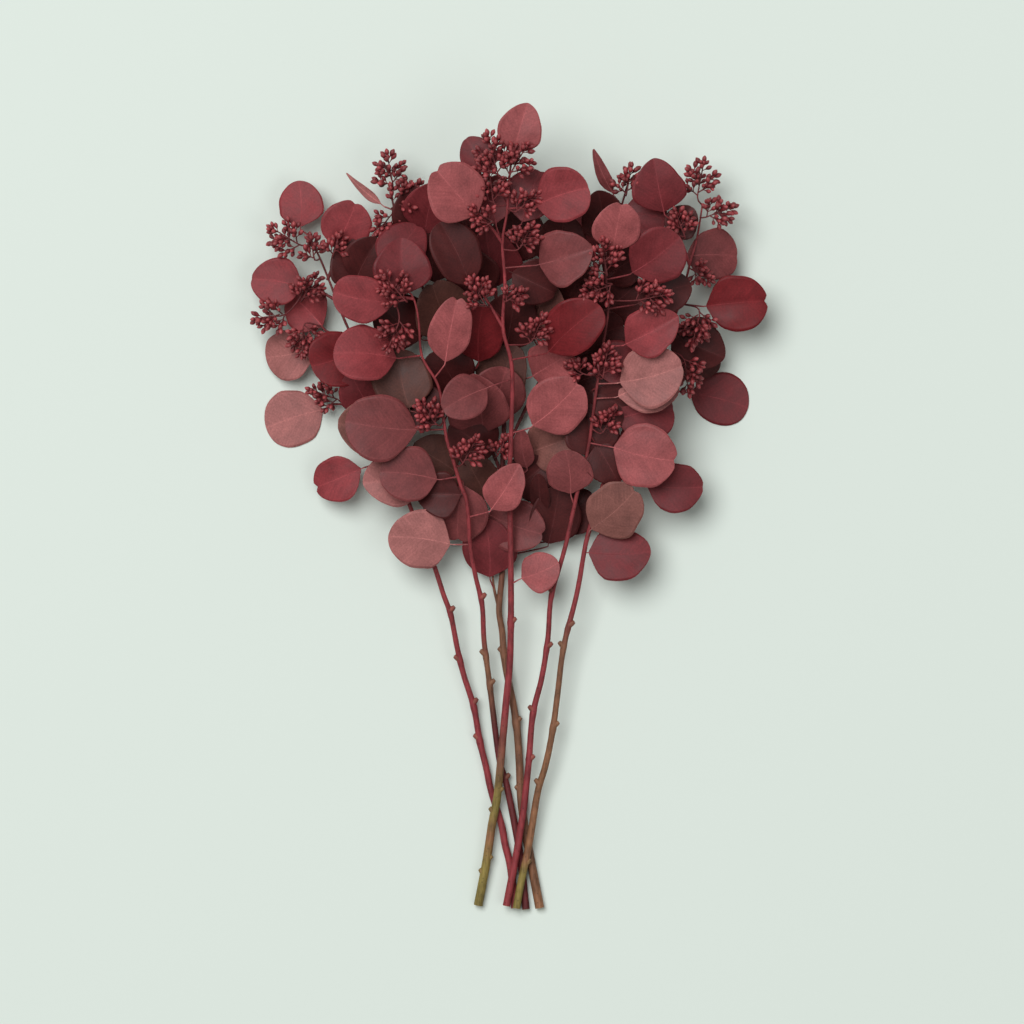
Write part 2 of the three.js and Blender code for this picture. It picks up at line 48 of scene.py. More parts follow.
# stem and twigs: x, y, z of the centre line in millimetres. radius: at the cut end, at the tip.
# scars: y on the stem, side (1 right, -1 left). bark: y on the stem, colour there.
WOOD = {
    "branch_front": {
        "radius": (4.0, 0.9),
        "stem": [
            (-24.8, -316.8, 4.3), (-18.4, -283, 7.6), (-13.6, -251, 9.7), (-9.6, -230, 11.7),
            (-6.4, -198, 15.6), (-2.4, -154, 19.6), (0.8, -118, 23), (1.6, -70, 28), (1.2, -22, 34),
            (0.4, 26, 41), (1.6, 58, 49), (2.4, 114, 62), (-4.8, 147, 69), (-3.2, 182, 77),
            (-5.2, 214, 84), (-1.6, 238, 89), (0, 262, 91), (2.4, 284, 91),
        ],
        "twigs": [
            [(-4.8, 147, 69), (-14, 163, 72), (-22, 175, 75)],
            [(-5.2, 214, 84), (-14, 226, 90), (-21, 234, 95)],
        ],
        "scars": [(-294, -1), (-283, 1), (-244, -1), (-226, 1), (-89, 1)],
        "bark": [
            (-284, "olive"), (-262, "rust"), (-240, "olive"), (-228, "olive"), (-205, "brown"), (-160, "red"),
        ],
    },
    "branch_left_centre": {
        "radius": (3.4, 0.8),
        "stem": [
            (13.6, -320, 3.6), (8.5, -274, 4.2), (-1.5, -222, 5.6), (-8, -198, 6.6), (-15.2, -142, 12),
            (-20, -104, 18), (-21.6, -75, 23), (-27.2, -50, 29), (-31.2, -26, 36), (-33.6, 7, 44),
            (-39.2, 23, 47), (-44.8, 42, 51), (-50.4, 61, 54), (-54.4, 92, 58), (-58.4, 105, 60),
            (-69.6, 125, 63), (-72, 152, 67), (-76, 170, 69), (-83, 179, 70),
        ],
        "twigs": [[(-76, 170, 69), (-86, 171, 71), (-94, 170, 72)]],
        "scars": [(-215, 1), (-140, 1), (-116, -1), (-70, 1)],
        "bark": [
            (-320, "dark_red"), (-175, "dark_red"), (-140, "brown"), (-117, "brown"), (-95, "red"),
            (60, "red"),
        ],
    },
    "branch_right_centre": {
        "radius": (3.4, 0.8),
        "stem": [
            (-2, -317, 9.4), (2, -296, 10.4), (5.2, -280, 11.2), (9.3, -255, 12.8), (11.8, -239, 13.7),
            (15.8, -202, 16), (19.2, -163, 18), (26.4, -133, 20), (31.2, -102, 22.5), (33.6, -70, 26),
            (40, -46, 29.5), (45.6, -26, 33), (54.4, 14, 41), (63.2, 50, 50), (69.6, 96, 61),
            (75.2, 134, 68), (79.2, 162, 72), (77.6, 182, 76), (76, 200, 80),
        ],
        "twigs": [],
        "scars": [(-201, 1), (-162, -1), (-110, 1), (-66, -1)],
        "bark": [(-317, "red"), (-70, "red"), (200, "dark_red")],
    },
    "branch_right": {
        "radius": (3.4, 0.8),
        "stem": [
            (6, -319, 9.9), (9.3, -300, 10.5), (13.6, -280, 11.3), (17.6, -259, 12.3), (23.2, -225, 14.8),
            (29.6, -203, 16.8), (35.2, -175, 18.6), (39.2, -145, 20.6), (44, -108, 23.5), (54.4, -66, 28),
            (60, -34, 31.5), (63.2, -19, 33), (72.8, 14, 37), (87.2, 54, 39), (104.8, 94, 39),
            (122.4, 134, 38), (136.8, 167, 37), (144.8, 198, 36), (150.4, 218, 34), (155.2, 246, 33),
        ],
        "twigs": [
            [(104.8, 94, 39), (122, 97, 24), (138, 97, 6)],
            [(144.8, 198, 36), (136, 222, 44), (128, 236, 48)],
            [(74, 18, 37), (88, 22, 37), (100, 22, 37)],
        ],
        "scars": [(-285, 1), (-221, -1), (-174, 1), (-109, -1), (-94, 1)],
        "bark": [
            (-319, "olive"), (-290, "olive"), (-280, "rust"), (-215, "rust"), (-108, "brown"), (-80, "red"),
        ],
    },
    "branch_left": {
        "radius": (3.4, 0.8),
        "stem": [
            (4.8, -319, 3.6), (1.1, -286, 3.8), (-3.2, -268, 3.9), (-6.4, -251, 4), (-14.4, -225, 4.5),
            (-18.4, -206, 5.2), (-23.5, -185, 6.5), (-28.4, -157, 9), (-36.8, -130, 12), (-41.9, -108, 15),
            (-46.8, -83, 18.5), (-52.8, -66, 21), (-59.2, -46, 23), (-68, -22, 26), (-79.2, 4, 30),
            (-92.8, 46, 34), (-107.2, 86, 37), (-121.6, 130, 38), (-132.8, 156, 37), (-144.8, 187, 34),
            (-152.8, 206, 30), (-161.6, 224, 26),
        ],
        "twigs": [
            [(-139, 170, 36), (-153.6, 178, 31), (-162, 180, 27)],
            [(-126.4, 142, 38), (-144, 144, 32), (-150.4, 149, 27)],
            [(-104.8, 80, 37), (-127.2, 86, 20), (-142, 87, 5)],
            [(-145.6, 186, 34), (-142, 196, 36), (-140, 204, 38)],
        ],
        "scars": [(-185, -1), (-157, 1), (-120, -1), (-82, 1)],
        "bark": [(-319, "red"), (-60, "red"), (220, "dark_red")],
    },
    "branch_back": {
        "radius": (4.0, 1.0),
        "stem": [
            (24.8, -319, 4.1), (20, -294, 4.2), (15.6, -270, 4.4), (12.6, -254, 4.6), (9.6, -230, 5),
            (8.4, -202, 5.6), (6.4, -175, 6.6), (3.2, -154, 7.2), (-3.2, -122, 8), (-5.6, -96, 8.8),
            (-8, -78, 9.4), (-5.6, -50, 10), (-4.8, -22, 11), (-5.6, 26, 13), (-4, 82, 15),
            (-7.2, 138, 17), (-12, 186, 18), (-16.8, 226, 20), (-21.6, 258, 22),
        ],
        "twigs": [
            [(-8, -78, 9.4), (-12, -62, 10.5), (-13.6, -48, 12)],
            [(-5.6, 30, 13), (-31, 90, 16), (-55, 146, 20), (-75, 194, 26), (-89, 230, 31), (-95, 258, 34)],
            [(-4.8, 46, 14), (25, 106, 17), (57, 162, 22), (77, 210, 28), (89, 242, 33), (95, 262, 36)],
        ],
        "scars": [(-225, -1), (-170, 1), (-113, -1)],
        "bark": [(-319, "rust"), (-262, "brown"), (-80, "brown"), (0, "dark_red")],
    },
}
BARK_TONES = {
    "olive": (0.195, 0.146, 0.038),
    "brown": (0.165, 0.072, 0.040),
    "tan": (0.230, 0.115, 0.062),
    "rust": (0.215, 0.096, 0.046),
    "red": (0.220, 0.030, 0.035),
    "dark_red": (0.110, 0.018, 0.019),
}
ROUND_SHARE = 0.91  # the round stem's radius, as a share of the corner radius in the solids
TWIG_RADIUS = (1.4, 0.85)
WOOD_STEP = 3.0
WOOD_SIDES = 12
SCAR_REACH = 5.4  # from the stem's centre line to the stub's face
SCAR_RADIUS = (2.6, 2.4, 2.1, 1.5)
SCAR_FORWARD = 0.8  # lean of a stub towards the tip: 0 is straight out
SCAR_RISE = 0.15
SCAR_PALENESS = 0.35
SWELLING = 0.2  # of the stem at a stub, as a share of its radius
SWELLING_REACH = 4.0
SWELLING_FROM = -200  # lower down, the stems lie close to one another and stay slim
CUT_TONE = (0.420, 0.330, 0.170)
CUT_STEP = 0.25
BARK_BUMP = 0.3
BARK_GRAIN = 170.0
BARK_STRETCH = (1.0, 0.12, 1.0)  # draws the streaks out along the stems
BARK_STREAK_GRAIN = 900.0
BARK_PATCH_GRAIN = 70.0
BARK_FLECK_GRAIN = 260.0


def mix(low, high, share):
    """The value at a share of the way from low to high."""
    return low + (high - low) * share


def centre_line(points, step):
    """Points at about even steps on a smooth curve through the given points."""
    places = [Vector(point) for point in points]
    places = [places[0] * 2 - places[1]] + places + [places[-1] * 2 - places[-2]]
    line = []
    for before, here, there, after in zip(places, places[1:], places[2:], places[3:]):
        count = max(1, round((there - here).length / step))
        leave = (there - before) / 2
        arrive = (after - here) / 2
        for k in range(count):
            t = k / count
            line.append(
                here * (2 * t**3 - 3 * t**2 + 1)
                + leave * (t**3 - 2 * t**2 + t)
                + there * (3 * t**2 - 2 * t**3)
                + arrive * (t**3 - t**2)
            )
    line.append(places[-2])
    return line


def bark_at(stops, y):
    """The bark's colour at a height on the stem, blended between the colours given for it."""
    last_y, last_tone = stops[0]
    for stop_y, tone in stops:
        if y <= stop_y:
            share = max((y - last_y) / (stop_y - last_y), 0.0) if stop_y > last_y else 0.0
            return [mix(a, b, share) for a, b in zip(BARK_TONES[last_tone], BARK_TONES[tone])]
        last_y, last_tone = stop_y, tone
    return list(BARK_TONES[last_tone])


def add_node(tree, kind, inputs=None, **settings):
    """A node in a tree, with its settings and its inputs, each a value or another node's output."""
    node = tree.nodes.new(kind)
    for name, value in settings.items():
        setattr(node, name, value)
    for key, value in (inputs or {}).items():
        if isinstance(value, bpy.types.NodeSocket):
            tree.links.new(value, node.inputs[key])
        else:
            node.inputs[key].default_value = value
    return node


def sum_node(tree, operation, *values):
    """The output of a maths node."""
    return add_node(tree, "ShaderNodeMath", dict(enumerate(values)), operation=operation).outputs[0]


def scaled(tree, vector, factor):
    """The output of a node that makes a vector longer or a colour lighter by a factor."""
    return add_node(tree, "ShaderNodeVectorMath", {0: vector, "Scale": factor}, operation="SCALE").outputs[0]


def noise(tree, place, grain, detail, roughness=0.5):
    """The output of a noise texture, from 0 to 1."""
    inputs = {"Vector": place, "Scale": grain, "Detail": detail, "Roughness": roughness}
    return add_node(tree, "ShaderNodeTexNoise", inputs).outputs[0]


def ranged(tree, value, old, new):
    """The output of a node that moves a value from an old range to a new one, and keeps it inside."""
    inputs = {"Value": value, "From Min": old[0], "From Max": old[1], "To Min": new[0], "To Max": new[1]}
    return add_node(tree, "ShaderNodeMapRange", inputs).outputs[0]


def read_node(tree, name, kind):
    """The output of a node that reads a named value of the points."""
    return add_node(tree, "GeometryNodeInputNamedAttribute", {"Name": name}, data_type=kind).outputs[0]


def tube(tree, curve, thickness, sides):
    """The output of the nodes that put a round, closed skin on a curve."""
    ring = add_node(tree, "GeometryNodeCurvePrimitiveCircle", {"Resolution": sides, "Radius": 1.0})
    inputs = {"Curve": curve, "Profile Curve": ring.outputs[0], "Scale": thickness, "Fill Caps": True}
    return add_node(tree, "GeometryNodeCurveToMesh", inputs).outputs[0]


def new_tree(name, inputs):
    """An empty geometry tree, its input node, and the inputs' names with their identifiers."""
    tree = bpy.data.node_groups.new(name, "GeometryNodeTree")
    tree.interface.new_socket("Geometry", in_out="INPUT", socket_type="NodeSocketGeometry")
    keys = {}
    for label, kind in inputs.items():
        socket = tree.interface.new_socket(label, in_out="INPUT", socket_type=kind)
        keys[label] = socket.identifier
    tree.interface.new_socket("Geometry", in_out="OUTPUT", socket_type="NodeSocketGeometry")
    return tree, tree.nodes.new("NodeGroupInput"), keys


def close_tree(tree, given, geometry):
    """Ends a tree: smooth faces, real geometry in place of instances, and the material."""
    smooth = add_node(tree, "GeometryNodeSetShadeSmooth", {"Geometry": geometry})
    real = add_node(tree, "GeometryNodeRealizeInstances", {"Geometry": smooth.outputs[0]})
    inputs = {"Geometry": real.outputs[0], "Material": given.outputs["Material"]}
    painted = add_node(tree, "GeometryNodeSetMaterial", inputs)
    add_node(tree, "NodeGroupOutput", {"Geometry": painted.outputs[0]})


def new_material(name):
    """A new material, its node tree and its shader."""
    material = bpy.data.materials.new(name)
    material.use_nodes = True
    return material, material.node_tree, material.node_tree.nodes["Principled BSDF"]


def mesh_value(tree, name, kind):
    """The output of a material node that reads a named value of the mesh."""
    return add_node(tree, "ShaderNodeAttribute", attribute_name=name).outputs[kind]


def grown_piece(name, branch, mesh, tree, keys, values):
    """Grows a mesh with a tree, keeps the result as a plain piece of its branch and tells the frame."""
    piece = bpy.data.objects.new(name, mesh)
    bpy.context.scene.collection.objects.link(piece)
    modifier = piece.modifiers.new("grow", "NODES")
    modifier.node_group = tree
    for label, value in values.items():
        modifier[keys[label]] = value
    depsgraph = bpy.context.evaluated_depsgraph_get()
    grown = bpy.data.meshes.new_from_object(
        piece.evaluated_get(depsgraph), preserve_all_data_layers=True, depsgraph=depsgraph
    )
    grown.name = name
    piece.modifiers.remove(modifier)
    piece.data = grown
    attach(piece, "root")
    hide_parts(branch)


def lines_mesh(name, lines):
    """A mesh of open lines. Each line is a list of (place in mm, radius in mm, colour)."""
    places = []
    edges = []
    for line in lines:
        first = len(places)
        places.extend(line)
        edges.extend((k, k + 1) for k in range(first, len(places) - 1))
    mesh = bpy.data.meshes.new(name)
    mesh.from_pydata([place * MM for place, _, _ in places], edges, [])
    radii = mesh.attributes.new("rod_radius", "FLOAT", "POINT")
    radii.data.foreach_set("value", [radius * MM for _, radius, _ in places])
    colours = mesh.attributes.new("bark_colour", "FLOAT_COLOR", "POINT")
    colours.data.foreach_set("color", [value for _, _, colour in places for value in (*colour, 1.0)])
    return mesh


# The tree that turns lines into round rods with a bumpy skin
rod_inputs = {
    "Sides": "NodeSocketInt",
    "Bump height": "NodeSocketFloat",
    "Bump grain": "NodeSocketFloat",
    "Material": "NodeSocketMaterial",
}
rod_tree, given, rod_keys = new_tree("round_rods", rod_inputs)
curves = add_node(rod_tree, "GeometryNodeMeshToCurve", {"Mesh": given.outputs["Geometry"]})
thickness = read_node(rod_tree, "rod_radius", "FLOAT")
smooth_rods = tube(rod_tree, curves.outputs[0], thickness, given.outputs["Sides"])
here = add_node(rod_tree, "GeometryNodeInputPosition").outputs[0]
bump = noise(rod_tree, here, given.outputs["Bump grain"], 3.0)
lift = sum_node(rod_tree, "MULTIPLY", sum_node(rod_tree, "SUBTRACT", bump, 0.5), given.outputs["Bump height"])
push = scaled(rod_tree, add_node(rod_tree, "GeometryNodeInputNormal").outputs[0], lift)
bumpy_rods = add_node(rod_tree, "GeometryNodeSetPosition", {"Geometry": smooth_rods, "Offset": push})
close_tree(rod_tree, given, bumpy_rods.outputs[0])

# Bark: the colour of the place on the stem, with streaks along it, dark flecks and a fine grain
bark, nodes, shader = new_material("eucalyptus_bark")
place = add_node(nodes, "ShaderNodeTexCoord").outputs["Object"]
along_stem = add_node(nodes, "ShaderNodeMapping", {"Vector": place, "Scale": BARK_STRETCH}).outputs[0]
streak = noise(nodes, along_stem, BARK_STREAK_GRAIN, 4.0)
patch = noise(nodes, place, BARK_PATCH_GRAIN, 3.0)
shade = ranged(nodes, sum_node(nodes, "ADD", streak, patch), (0.65, 1.35), (0.5, 1.6))
cells = add_node(nodes, "ShaderNodeTexVoronoi", {"Vector": place, "Scale": BARK_FLECK_GRAIN})
fleck = ranged(nodes, cells.outputs["Distance"], (0.1, 0.22), (0.55, 1.0))
toned = scaled(nodes, mesh_value(nodes, "bark_colour", "Color"), shade)
nodes.links.new(scaled(nodes, toned, fleck), shader.inputs["Base Color"])
shader.inputs["Roughness"].default_value = 0.62
shader.inputs["Specular IOR Level"].default_value = 0.3
relief = add_node(nodes, "ShaderNodeBump", {"Height": streak, "Strength": 0.35, "Distance": 0.4 * MM})
nodes.links.new(relief.outputs[0], shader.inputs["Normal"])

wood_lines = {}
for branch, wood in WOOD.items():
    stem = centre_line(wood["stem"], WOOD_STEP)
    twigs = [centre_line(points, WOOD_STEP) for points in wood["twigs"]]
    wood_lines[branch] = [stem, *twigs]
    bark_here = partial(bark_at, wood["bark"])
    stem_rod = []
    for k, place in enumerate(stem):
        radius = ROUND_SHARE * mix(*wood["radius"], k / (len(stem) - 1))
        if place.y > SWELLING_FROM:
            for y, _ in wood["scars"]:
                radius *= 1 + SWELLING * math.exp(-(((place.y - y) / SWELLING_REACH) ** 2))
        stem_rod.append((place, radius, bark_here(place.y)))
    cut = stem[0] + (stem[0] - stem[1]).normalized() * CUT_STEP
    stem_rod.insert(0, (cut, stem_rod[0][1], CUT_TONE))
    rods = [stem_rod]
    for twig in twigs:
        last = len(twig) - 1
        radii = [mix(*TWIG_RADIUS, k / last) for k in range(len(twig))]
        rods.append([(place, radius, bark_here(place.y)) for place, radius in zip(twig, radii)])
    for y, side in wood["scars"]:
        k = next(k for k, place in enumerate(stem) if place.y > y)
        along = (stem[k] - stem[k - 1]).normalized()
        outward = (Vector((side, 0, SCAR_RISE)) + along * SCAR_FORWARD).normalized()
        pale = [mix(a, b, SCAR_PALENESS) for a, b in zip(bark_here(y), BARK_TONES["tan"])]
        stub = []
        for ring, radius in enumerate(SCAR_RADIUS):
            reach = SCAR_REACH * ring / (len(SCAR_RADIUS) - 1)
            stub.append((stem[k] + outward * reach, radius, pale if ring else bark_here(y)))
        rods.append(stub)
    mesh = lines_mesh(f"{branch}_wood", rods)
    values = {"Sides": WOOD_SIDES, "Bump height": BARK_BUMP * MM, "Bump grain": BARK_GRAIN, "Material": bark}
    grown_piece(f"{branch}_wood", branch, mesh, rod_tree, rod_keys, values)

# Leaves
# Round, leathery leaves, 30 to 58 mm long and under 1 mm thick, dyed from greyish pink to dark wine red, with
# painted sheen on the palest and painted shade on the darkest.
# Each sits on a thin stalk out of the wood, and the stalk runs on over the blade as its pale midrib.
BLADE_THICKNESS = 0.7
FLAT = BLADE_THICKNESS / 2  # height of the middle of a blade that lies on the surface
Leaf = namedtuple("Leaf", "x y z heading length width tone")

# x, y, z of the blade's middle in millimetres, heading in degrees from +X, length, width, tone
LEAVES = {
    "branch_front": [
        (24.8, -47, 37, 23, 33, 32, "rose"), (37.6, 86, 64, 43, 53, 47, "rose"),
        (-35.2, 90, 70, 207, 41, 38, "mauve"), (51.2, 145, 84, 41, 58, 42, "red"),
        (44.8, 203, 93, 16, 46, 46, "mauve"), (-42.4, 205, 85, 116, 56, 40, "dark"),
        (-41.6, 254, 106, 132, 51, 48, "rose"), (42.4, 250, 102, 18, 46, 43, "crimson"),
        (9.6, 305, 94, 74, 41, 35, "rose"), (-24, 285, 84, 130, 34, 29, "wine"),
        (18, 252, 80, 70, 44, 40, "wine"), (20.8, 182, 70, 335, 40, 36, "dark"),
        (-12, 250, 76, 95, 40, 34, "wine"),
    ],
    "branch_left_centre": [
        (-72, -23, 40, 173, 50, 48, "dusty"), (-39.2, -2, 33, 265, 48, 48, "mauve"),
        (-80.8, 29, 53, 173, 47, 47, "mauve"), (-101.6, 69, 63, 173, 58, 53, "mauve"),
        (-3.2, 20, 54, 58, 44, 32, "rose"), (-114.4, 125, 73, 176, 51, 46, "crimson"),
        (-45.6, 145, 78, 79, 56, 34, "rose"), (-116, 171, 77, 170, 50, 36, "crimson"),
        (-84.8, 196, 72, 92, 45, 46, "wine"), (-84, 107, 54, 100, 48, 50, "olive"),
        (-84, 210, 60, 60, 48, 40, "wine"), (-57, 14, 41, 180, 36, 36, "dark"),
        (-70, 86, 47, 160, 40, 38, "dark"),
    ],
    "branch_right_centre": [
        (47.2, 32, 48, 97, 36, 37, "mauve"), (108.8, 46, 57, -12, 52, 52, "rose"),
        (113.6, 110, 72, 15, 53, 53, "dusty"), (111, 101, 60, 20, 50, 48, "dusty"),
        (113.6, 145, 77, 28, 48, 40, "crimson"), (116.8, 204, 87, 37, 48, 46, "wine"),
        (86.4, 226, 96, 80, 42, 38, "rose"), (108.8, 78, 50, 10, 48, 44, "wine"),
        (79, 38, 47, 300, 36, 34, "dark"), (124.8, 174, 66, 20, 46, 40, "dark"),
        (88, 118, 57, 20, 38, 36, "wine"), (66, 66, 48, 100, 44, 42, "dark"),
        (84, 86, 54, -30, 38, 36, "dark"),
    ],
    "branch_right": [
        (88.8, -32, 35, 1, 50, 43, "wine"), (84, 2, 46, 42, 50, 46, "brown"),
        (133.6, 21, 36, -2, 46, 41, "wine"), (169.6, 90, FLAT, -14, 48, 42, "wine"),
        (152, 134, 32, 335, 48, 42, "dark"), (153, 121, 18, 300, 36, 34, "dark"),
        (183.2, 167, 38, 5, 50, 47, "red"), (163.2, 205, 28, 0, 43, 42, "mauve"),
        (120, 261, 56, 101, 44, 42, "wine"), (139.2, 232, 42, 60, 30, 28, "dark"),
    ],
    "branch_left": [
        (-168.3, 248, 24, 92, 37, 36, "crimson"), (-131, 230, 44, 65, 41, 41, "crimson"),
        (-187.2, 184, 26, 171, 42, 41, "crimson"), (-176.8, 128, 14, 190, 44, 40, "dusty"),
        (-164, 163, 14, 135, 40, 38, "crimson"), (-173.2, 75, FLAT, 198, 48, 47, "dusty"),
        (-138.4, 27, 22, 202, 42, 37, "crimson"), (-138.4, 124, 46, 200, 44, 44, "red"),
        (-94.4, 27, 40, 190, 46, 46, "dusty"), (-115.2, 70, 46, 178, 46, 46, "brown"),
        (-117.6, 96, 47, 120, 38, 34, "wine"), (-125.6, 200, 40, 110, 42, 38, "dark"),
        (-113, 202, 50, 60, 40, 36, "dark"),
    ],
    "branch_back": [
        (-17.6, -29, 20, 95, 48, 44, "wine"), (5.6, -10, 26, -20, 50, 42, "mauve"),
        (-60, 42, 26, 150, 44, 42, "olive"), (-24, 26, 28, 120, 40, 36, "olive"),
        (-24.8, 86, 42, 100, 54, 50, "mauve"), (-9.6, 95, 34, 70, 46, 42, "mauve"),
        (-53.6, 162, 46, 110, 52, 48, "olive"), (-22.4, 142, 54, 85, 54, 44, "red"),
        (-74, 240, 46, 105, 46, 40, "dark"), (-61.6, 243, 56, 75, 48, 40, "wine"),
        (25.6, 162, 42, 75, 50, 46, "brown"), (34.4, 54, 32, 20, 44, 40, "brown"),
        (12, 50, 38, 100, 37, 17, "mauve"), (24.8, 14, 34, 95, 38, 16, "dark"),
        (36, -2, 24, 80, 50, 42, "dark"), (55, 0, 14, 70, 40, 34, "dark"),
        (34.4, 118, 50, 30, 46, 40, "rose"), (-4, 114, 28, 60, 46, 44, "olive"),
        (72.8, 238, 48, 95, 42, 38, "dark"), (-117, 260, 40, 138, 40, 7, "dusty"),
        (75.2, 274, 44, 114, 41, 11, "mauve"), (-62, 238, FLAT, 120, 46, 44, "wine"),
        (56, 228, FLAT, 60, 46, 44, "wine"), (88.8, 170, 36, 40, 46, 44, "dark"),
        (72.8, 142, 30, 20, 46, 44, "dark"), (52.8, 178, 40, 60, 48, 44, "dark"),
        (40.8, 218, 36, 80, 46, 44, "dark"), (-31.2, 190, 40, 110, 48, 44, "dark"),
        (-87.2, 154, 34, 140, 48, 46, "dark"), (8.8, 222, 30, 80, 46, 42, "dark"),
        (109, 238, 36, -10, 36, 34, "wine"), (-28, 60, 30, 150, 46, 42, "dark"),
        (2, 152, 40, 80, 52, 44, "dark"), (62, 106, 32, 20, 46, 44, "dark"),
        (-48, 112, 38, 120, 46, 44, "dark"), (90, 198, 44, 30, 38, 36, "dark"),
        (18, 28, 22, 40, 40, 38, "dark"), (-14, 204, 40, 100, 52, 48, "wine"),
        (-60, 204, 38, 90, 42, 40, "dark"), (-34, 228, 28, 110, 40, 38, "dark"),
    ],
}
# Leaf tones: each is the leaf's dye colour. The dusty and rose tones are also paler and greyer as a painted
# sheen, and the dark tone, used mostly on inner leaves at the back, is also darker as painted shade from the
# leaves over them.
LEAF_TONES = {
    "crimson": (0.222, 0.032, 0.037),
    "rose": (0.288, 0.069, 0.071),
    "dusty": (0.330, 0.118, 0.110),
    "mauve": (0.172, 0.039, 0.040),
    "red": (0.145, 0.010, 0.013),
    "wine": (0.146, 0.019, 0.023),
    "dark": (0.064, 0.010, 0.010),
    "brown": (0.195, 0.073, 0.061),
    "olive": (0.088, 0.030, 0.023),
}
BLADE_HALF_WIDTH = [
    # way along the blade from base to tip, share of the half width there
    (0.0, 0.03), (0.1, 0.15), (0.18, 0.38), (0.28, 0.71), (0.4, 0.95), (0.5, 1.0),
    (0.62, 0.94), (0.75, 0.73), (0.88, 0.38), (0.96, 0.12), (1.0, 0.02),
]
POINTS_ACROSS = 17
POINTS_ALONG = 25
WELD_GAP = 1e-6  # joins the points where the two faces of a blade meet
BLADE_CUP = 0.13  # rise of the edge over the midrib, as a share of the half width
CUP_SPREAD = 1.1  # how much the cup differs from leaf to leaf, as a share of it
BLADE_ARCH = 0.045  # fall of base and tip below the middle, as a share of the length
ARCH_SPREAD = 0.6
BLADE_ROLL = 13  # most that a blade leans to one side, in degrees
PITCH_SHARE = 0.8  # the blade's slope as a share of the slope from the wood to its middle
BLADE_SWEEP = 0.045  # most that the midrib bends to one side, as a share of the length
BLADE_TAPER = 0.3  # how much fuller a blade can be at its base than at its tip
TAPER_LEAN = 0.2  # makes fuller bases the more common
NOTCH_DEPTH = 0.045  # of the dent in a tip, as a share of the length
NOTCH_LEAN = 0.5  # makes a dented tip the more common
NOTCH_WIDTH = 0.13  # as a share of the half width
NOTCH_END = 14.0  # the higher, the nearer to the tip the dent stays
BLADE_POINT = 0.45  # how pointed the tip of a round blade can be: a narrow leaf has 1
NARROW_LEAF = 0.3  # width over length, under which a leaf is a narrow one
POINT_FILL = 0.3  # how much fuller a pointed blade is before its tip
TIP_END = 1.02  # where a pointed blade would come to nothing, as a share of the length
OUTLINE_WAVE = 0.17  # how far the outline wanders in and out, as a share of the half width
WAVE_GRAIN = 2.2
RIPPLE_HEIGHT = 4.4
RIPPLE_GRAIN = 1.7
SIDE_SHIFT = 3.1  # these three keep the patterns of the two sides and of the leaves apart
WAVE_SHIFT = 2.3
RIPPLE_SHIFT = 3.7
NUMBER_GAP = 40  # keeps the patterns of branches with different numbers of leaves apart
STALK_REACH = 11  # how far behind the blade its stalk looks for wood
STALK_RADIUS = (0.75, 0.62)
STALK_STEP = 3.0
STALK_SIDES = 7
STALK_BOW = 0.6  # rise of the stalk's middle
STALK_LEAD = 2.5  # length of the stalk's end that is in line with the blade
STALK_CLEARANCE = 0.1  # from the surface, where a leaf lies flat
RIB_RADIUS = (0.5, 0.1)
RIB_POINTS = 7
RIB_END = 0.93  # as a share of the blade's length
RIB_HEIGHT = 0.4  # of its centre line over the blade's middle, as a share of the thickness
RIB_THINNING = 0.7
RIB_LIGHT = 1.5  # the midrib's colour is this many times the blade's, and a little lighter still
RIB_LIFT = 0.01
ROLL, CUP, ARCH, NOTCH, SWEEP, TAPER, POINT = range(1, 8)  # what differs from leaf to leaf
LeafPose = namedtuple("LeafPose", "root middle along side cup arch")


def wobble(number, kind):
    """A repeatable value between -1 and 1 for a numbered thing."""
    wave = math.sin(number * 12.9898 + kind * 78.233) * 43758.5453
    return 2 * (wave - math.floor(wave)) - 1


def nearest_wood(lines, place):
    """The point of the branch's wood nearest to a place."""
    return min((point for line in lines for point in line), key=lambda point: (point - place).length)


def leaf_pose(leaf, number, lines):
    """Where a leaf starts on the wood, and how its blade lies."""
    turn = math.radians(leaf.heading)
    level = Vector((math.cos(turn), math.sin(turn), 0))
    level_side = Vector((-level.y, level.x, 0))
    middle = Vector((leaf.x, leaf.y, leaf.z))
    run = leaf.length / 2 + STALK_REACH
    root = nearest_wood(lines, middle - level * run)
    if leaf.z == FLAT:
        return LeafPose(root, middle, level, level_side, 0.0, 0.0)
    pitch = math.atan2(leaf.z - root.z, run) * PITCH_SHARE
    roll = math.radians(BLADE_ROLL * wobble(number, ROLL))
    along = level * math.cos(pitch) + Vector((0, 0, math.sin(pitch)))
    side = level_side * math.cos(roll) + along.cross(level_side) * math.sin(roll)
    cup = BLADE_CUP * (1 + CUP_SPREAD * wobble(number, CUP))
    arch = BLADE_ARCH * (1 + ARCH_SPREAD * wobble(number, ARCH))
    return LeafPose(root, middle, along, side, cup, arch)


def tip_point(leaf, number):
    """How pointed a leaf's tip is."""
    if leaf.width < NARROW_LEAF * leaf.length:
        return 1.0
    return BLADE_POINT * max(0.0, wobble(number, POINT))


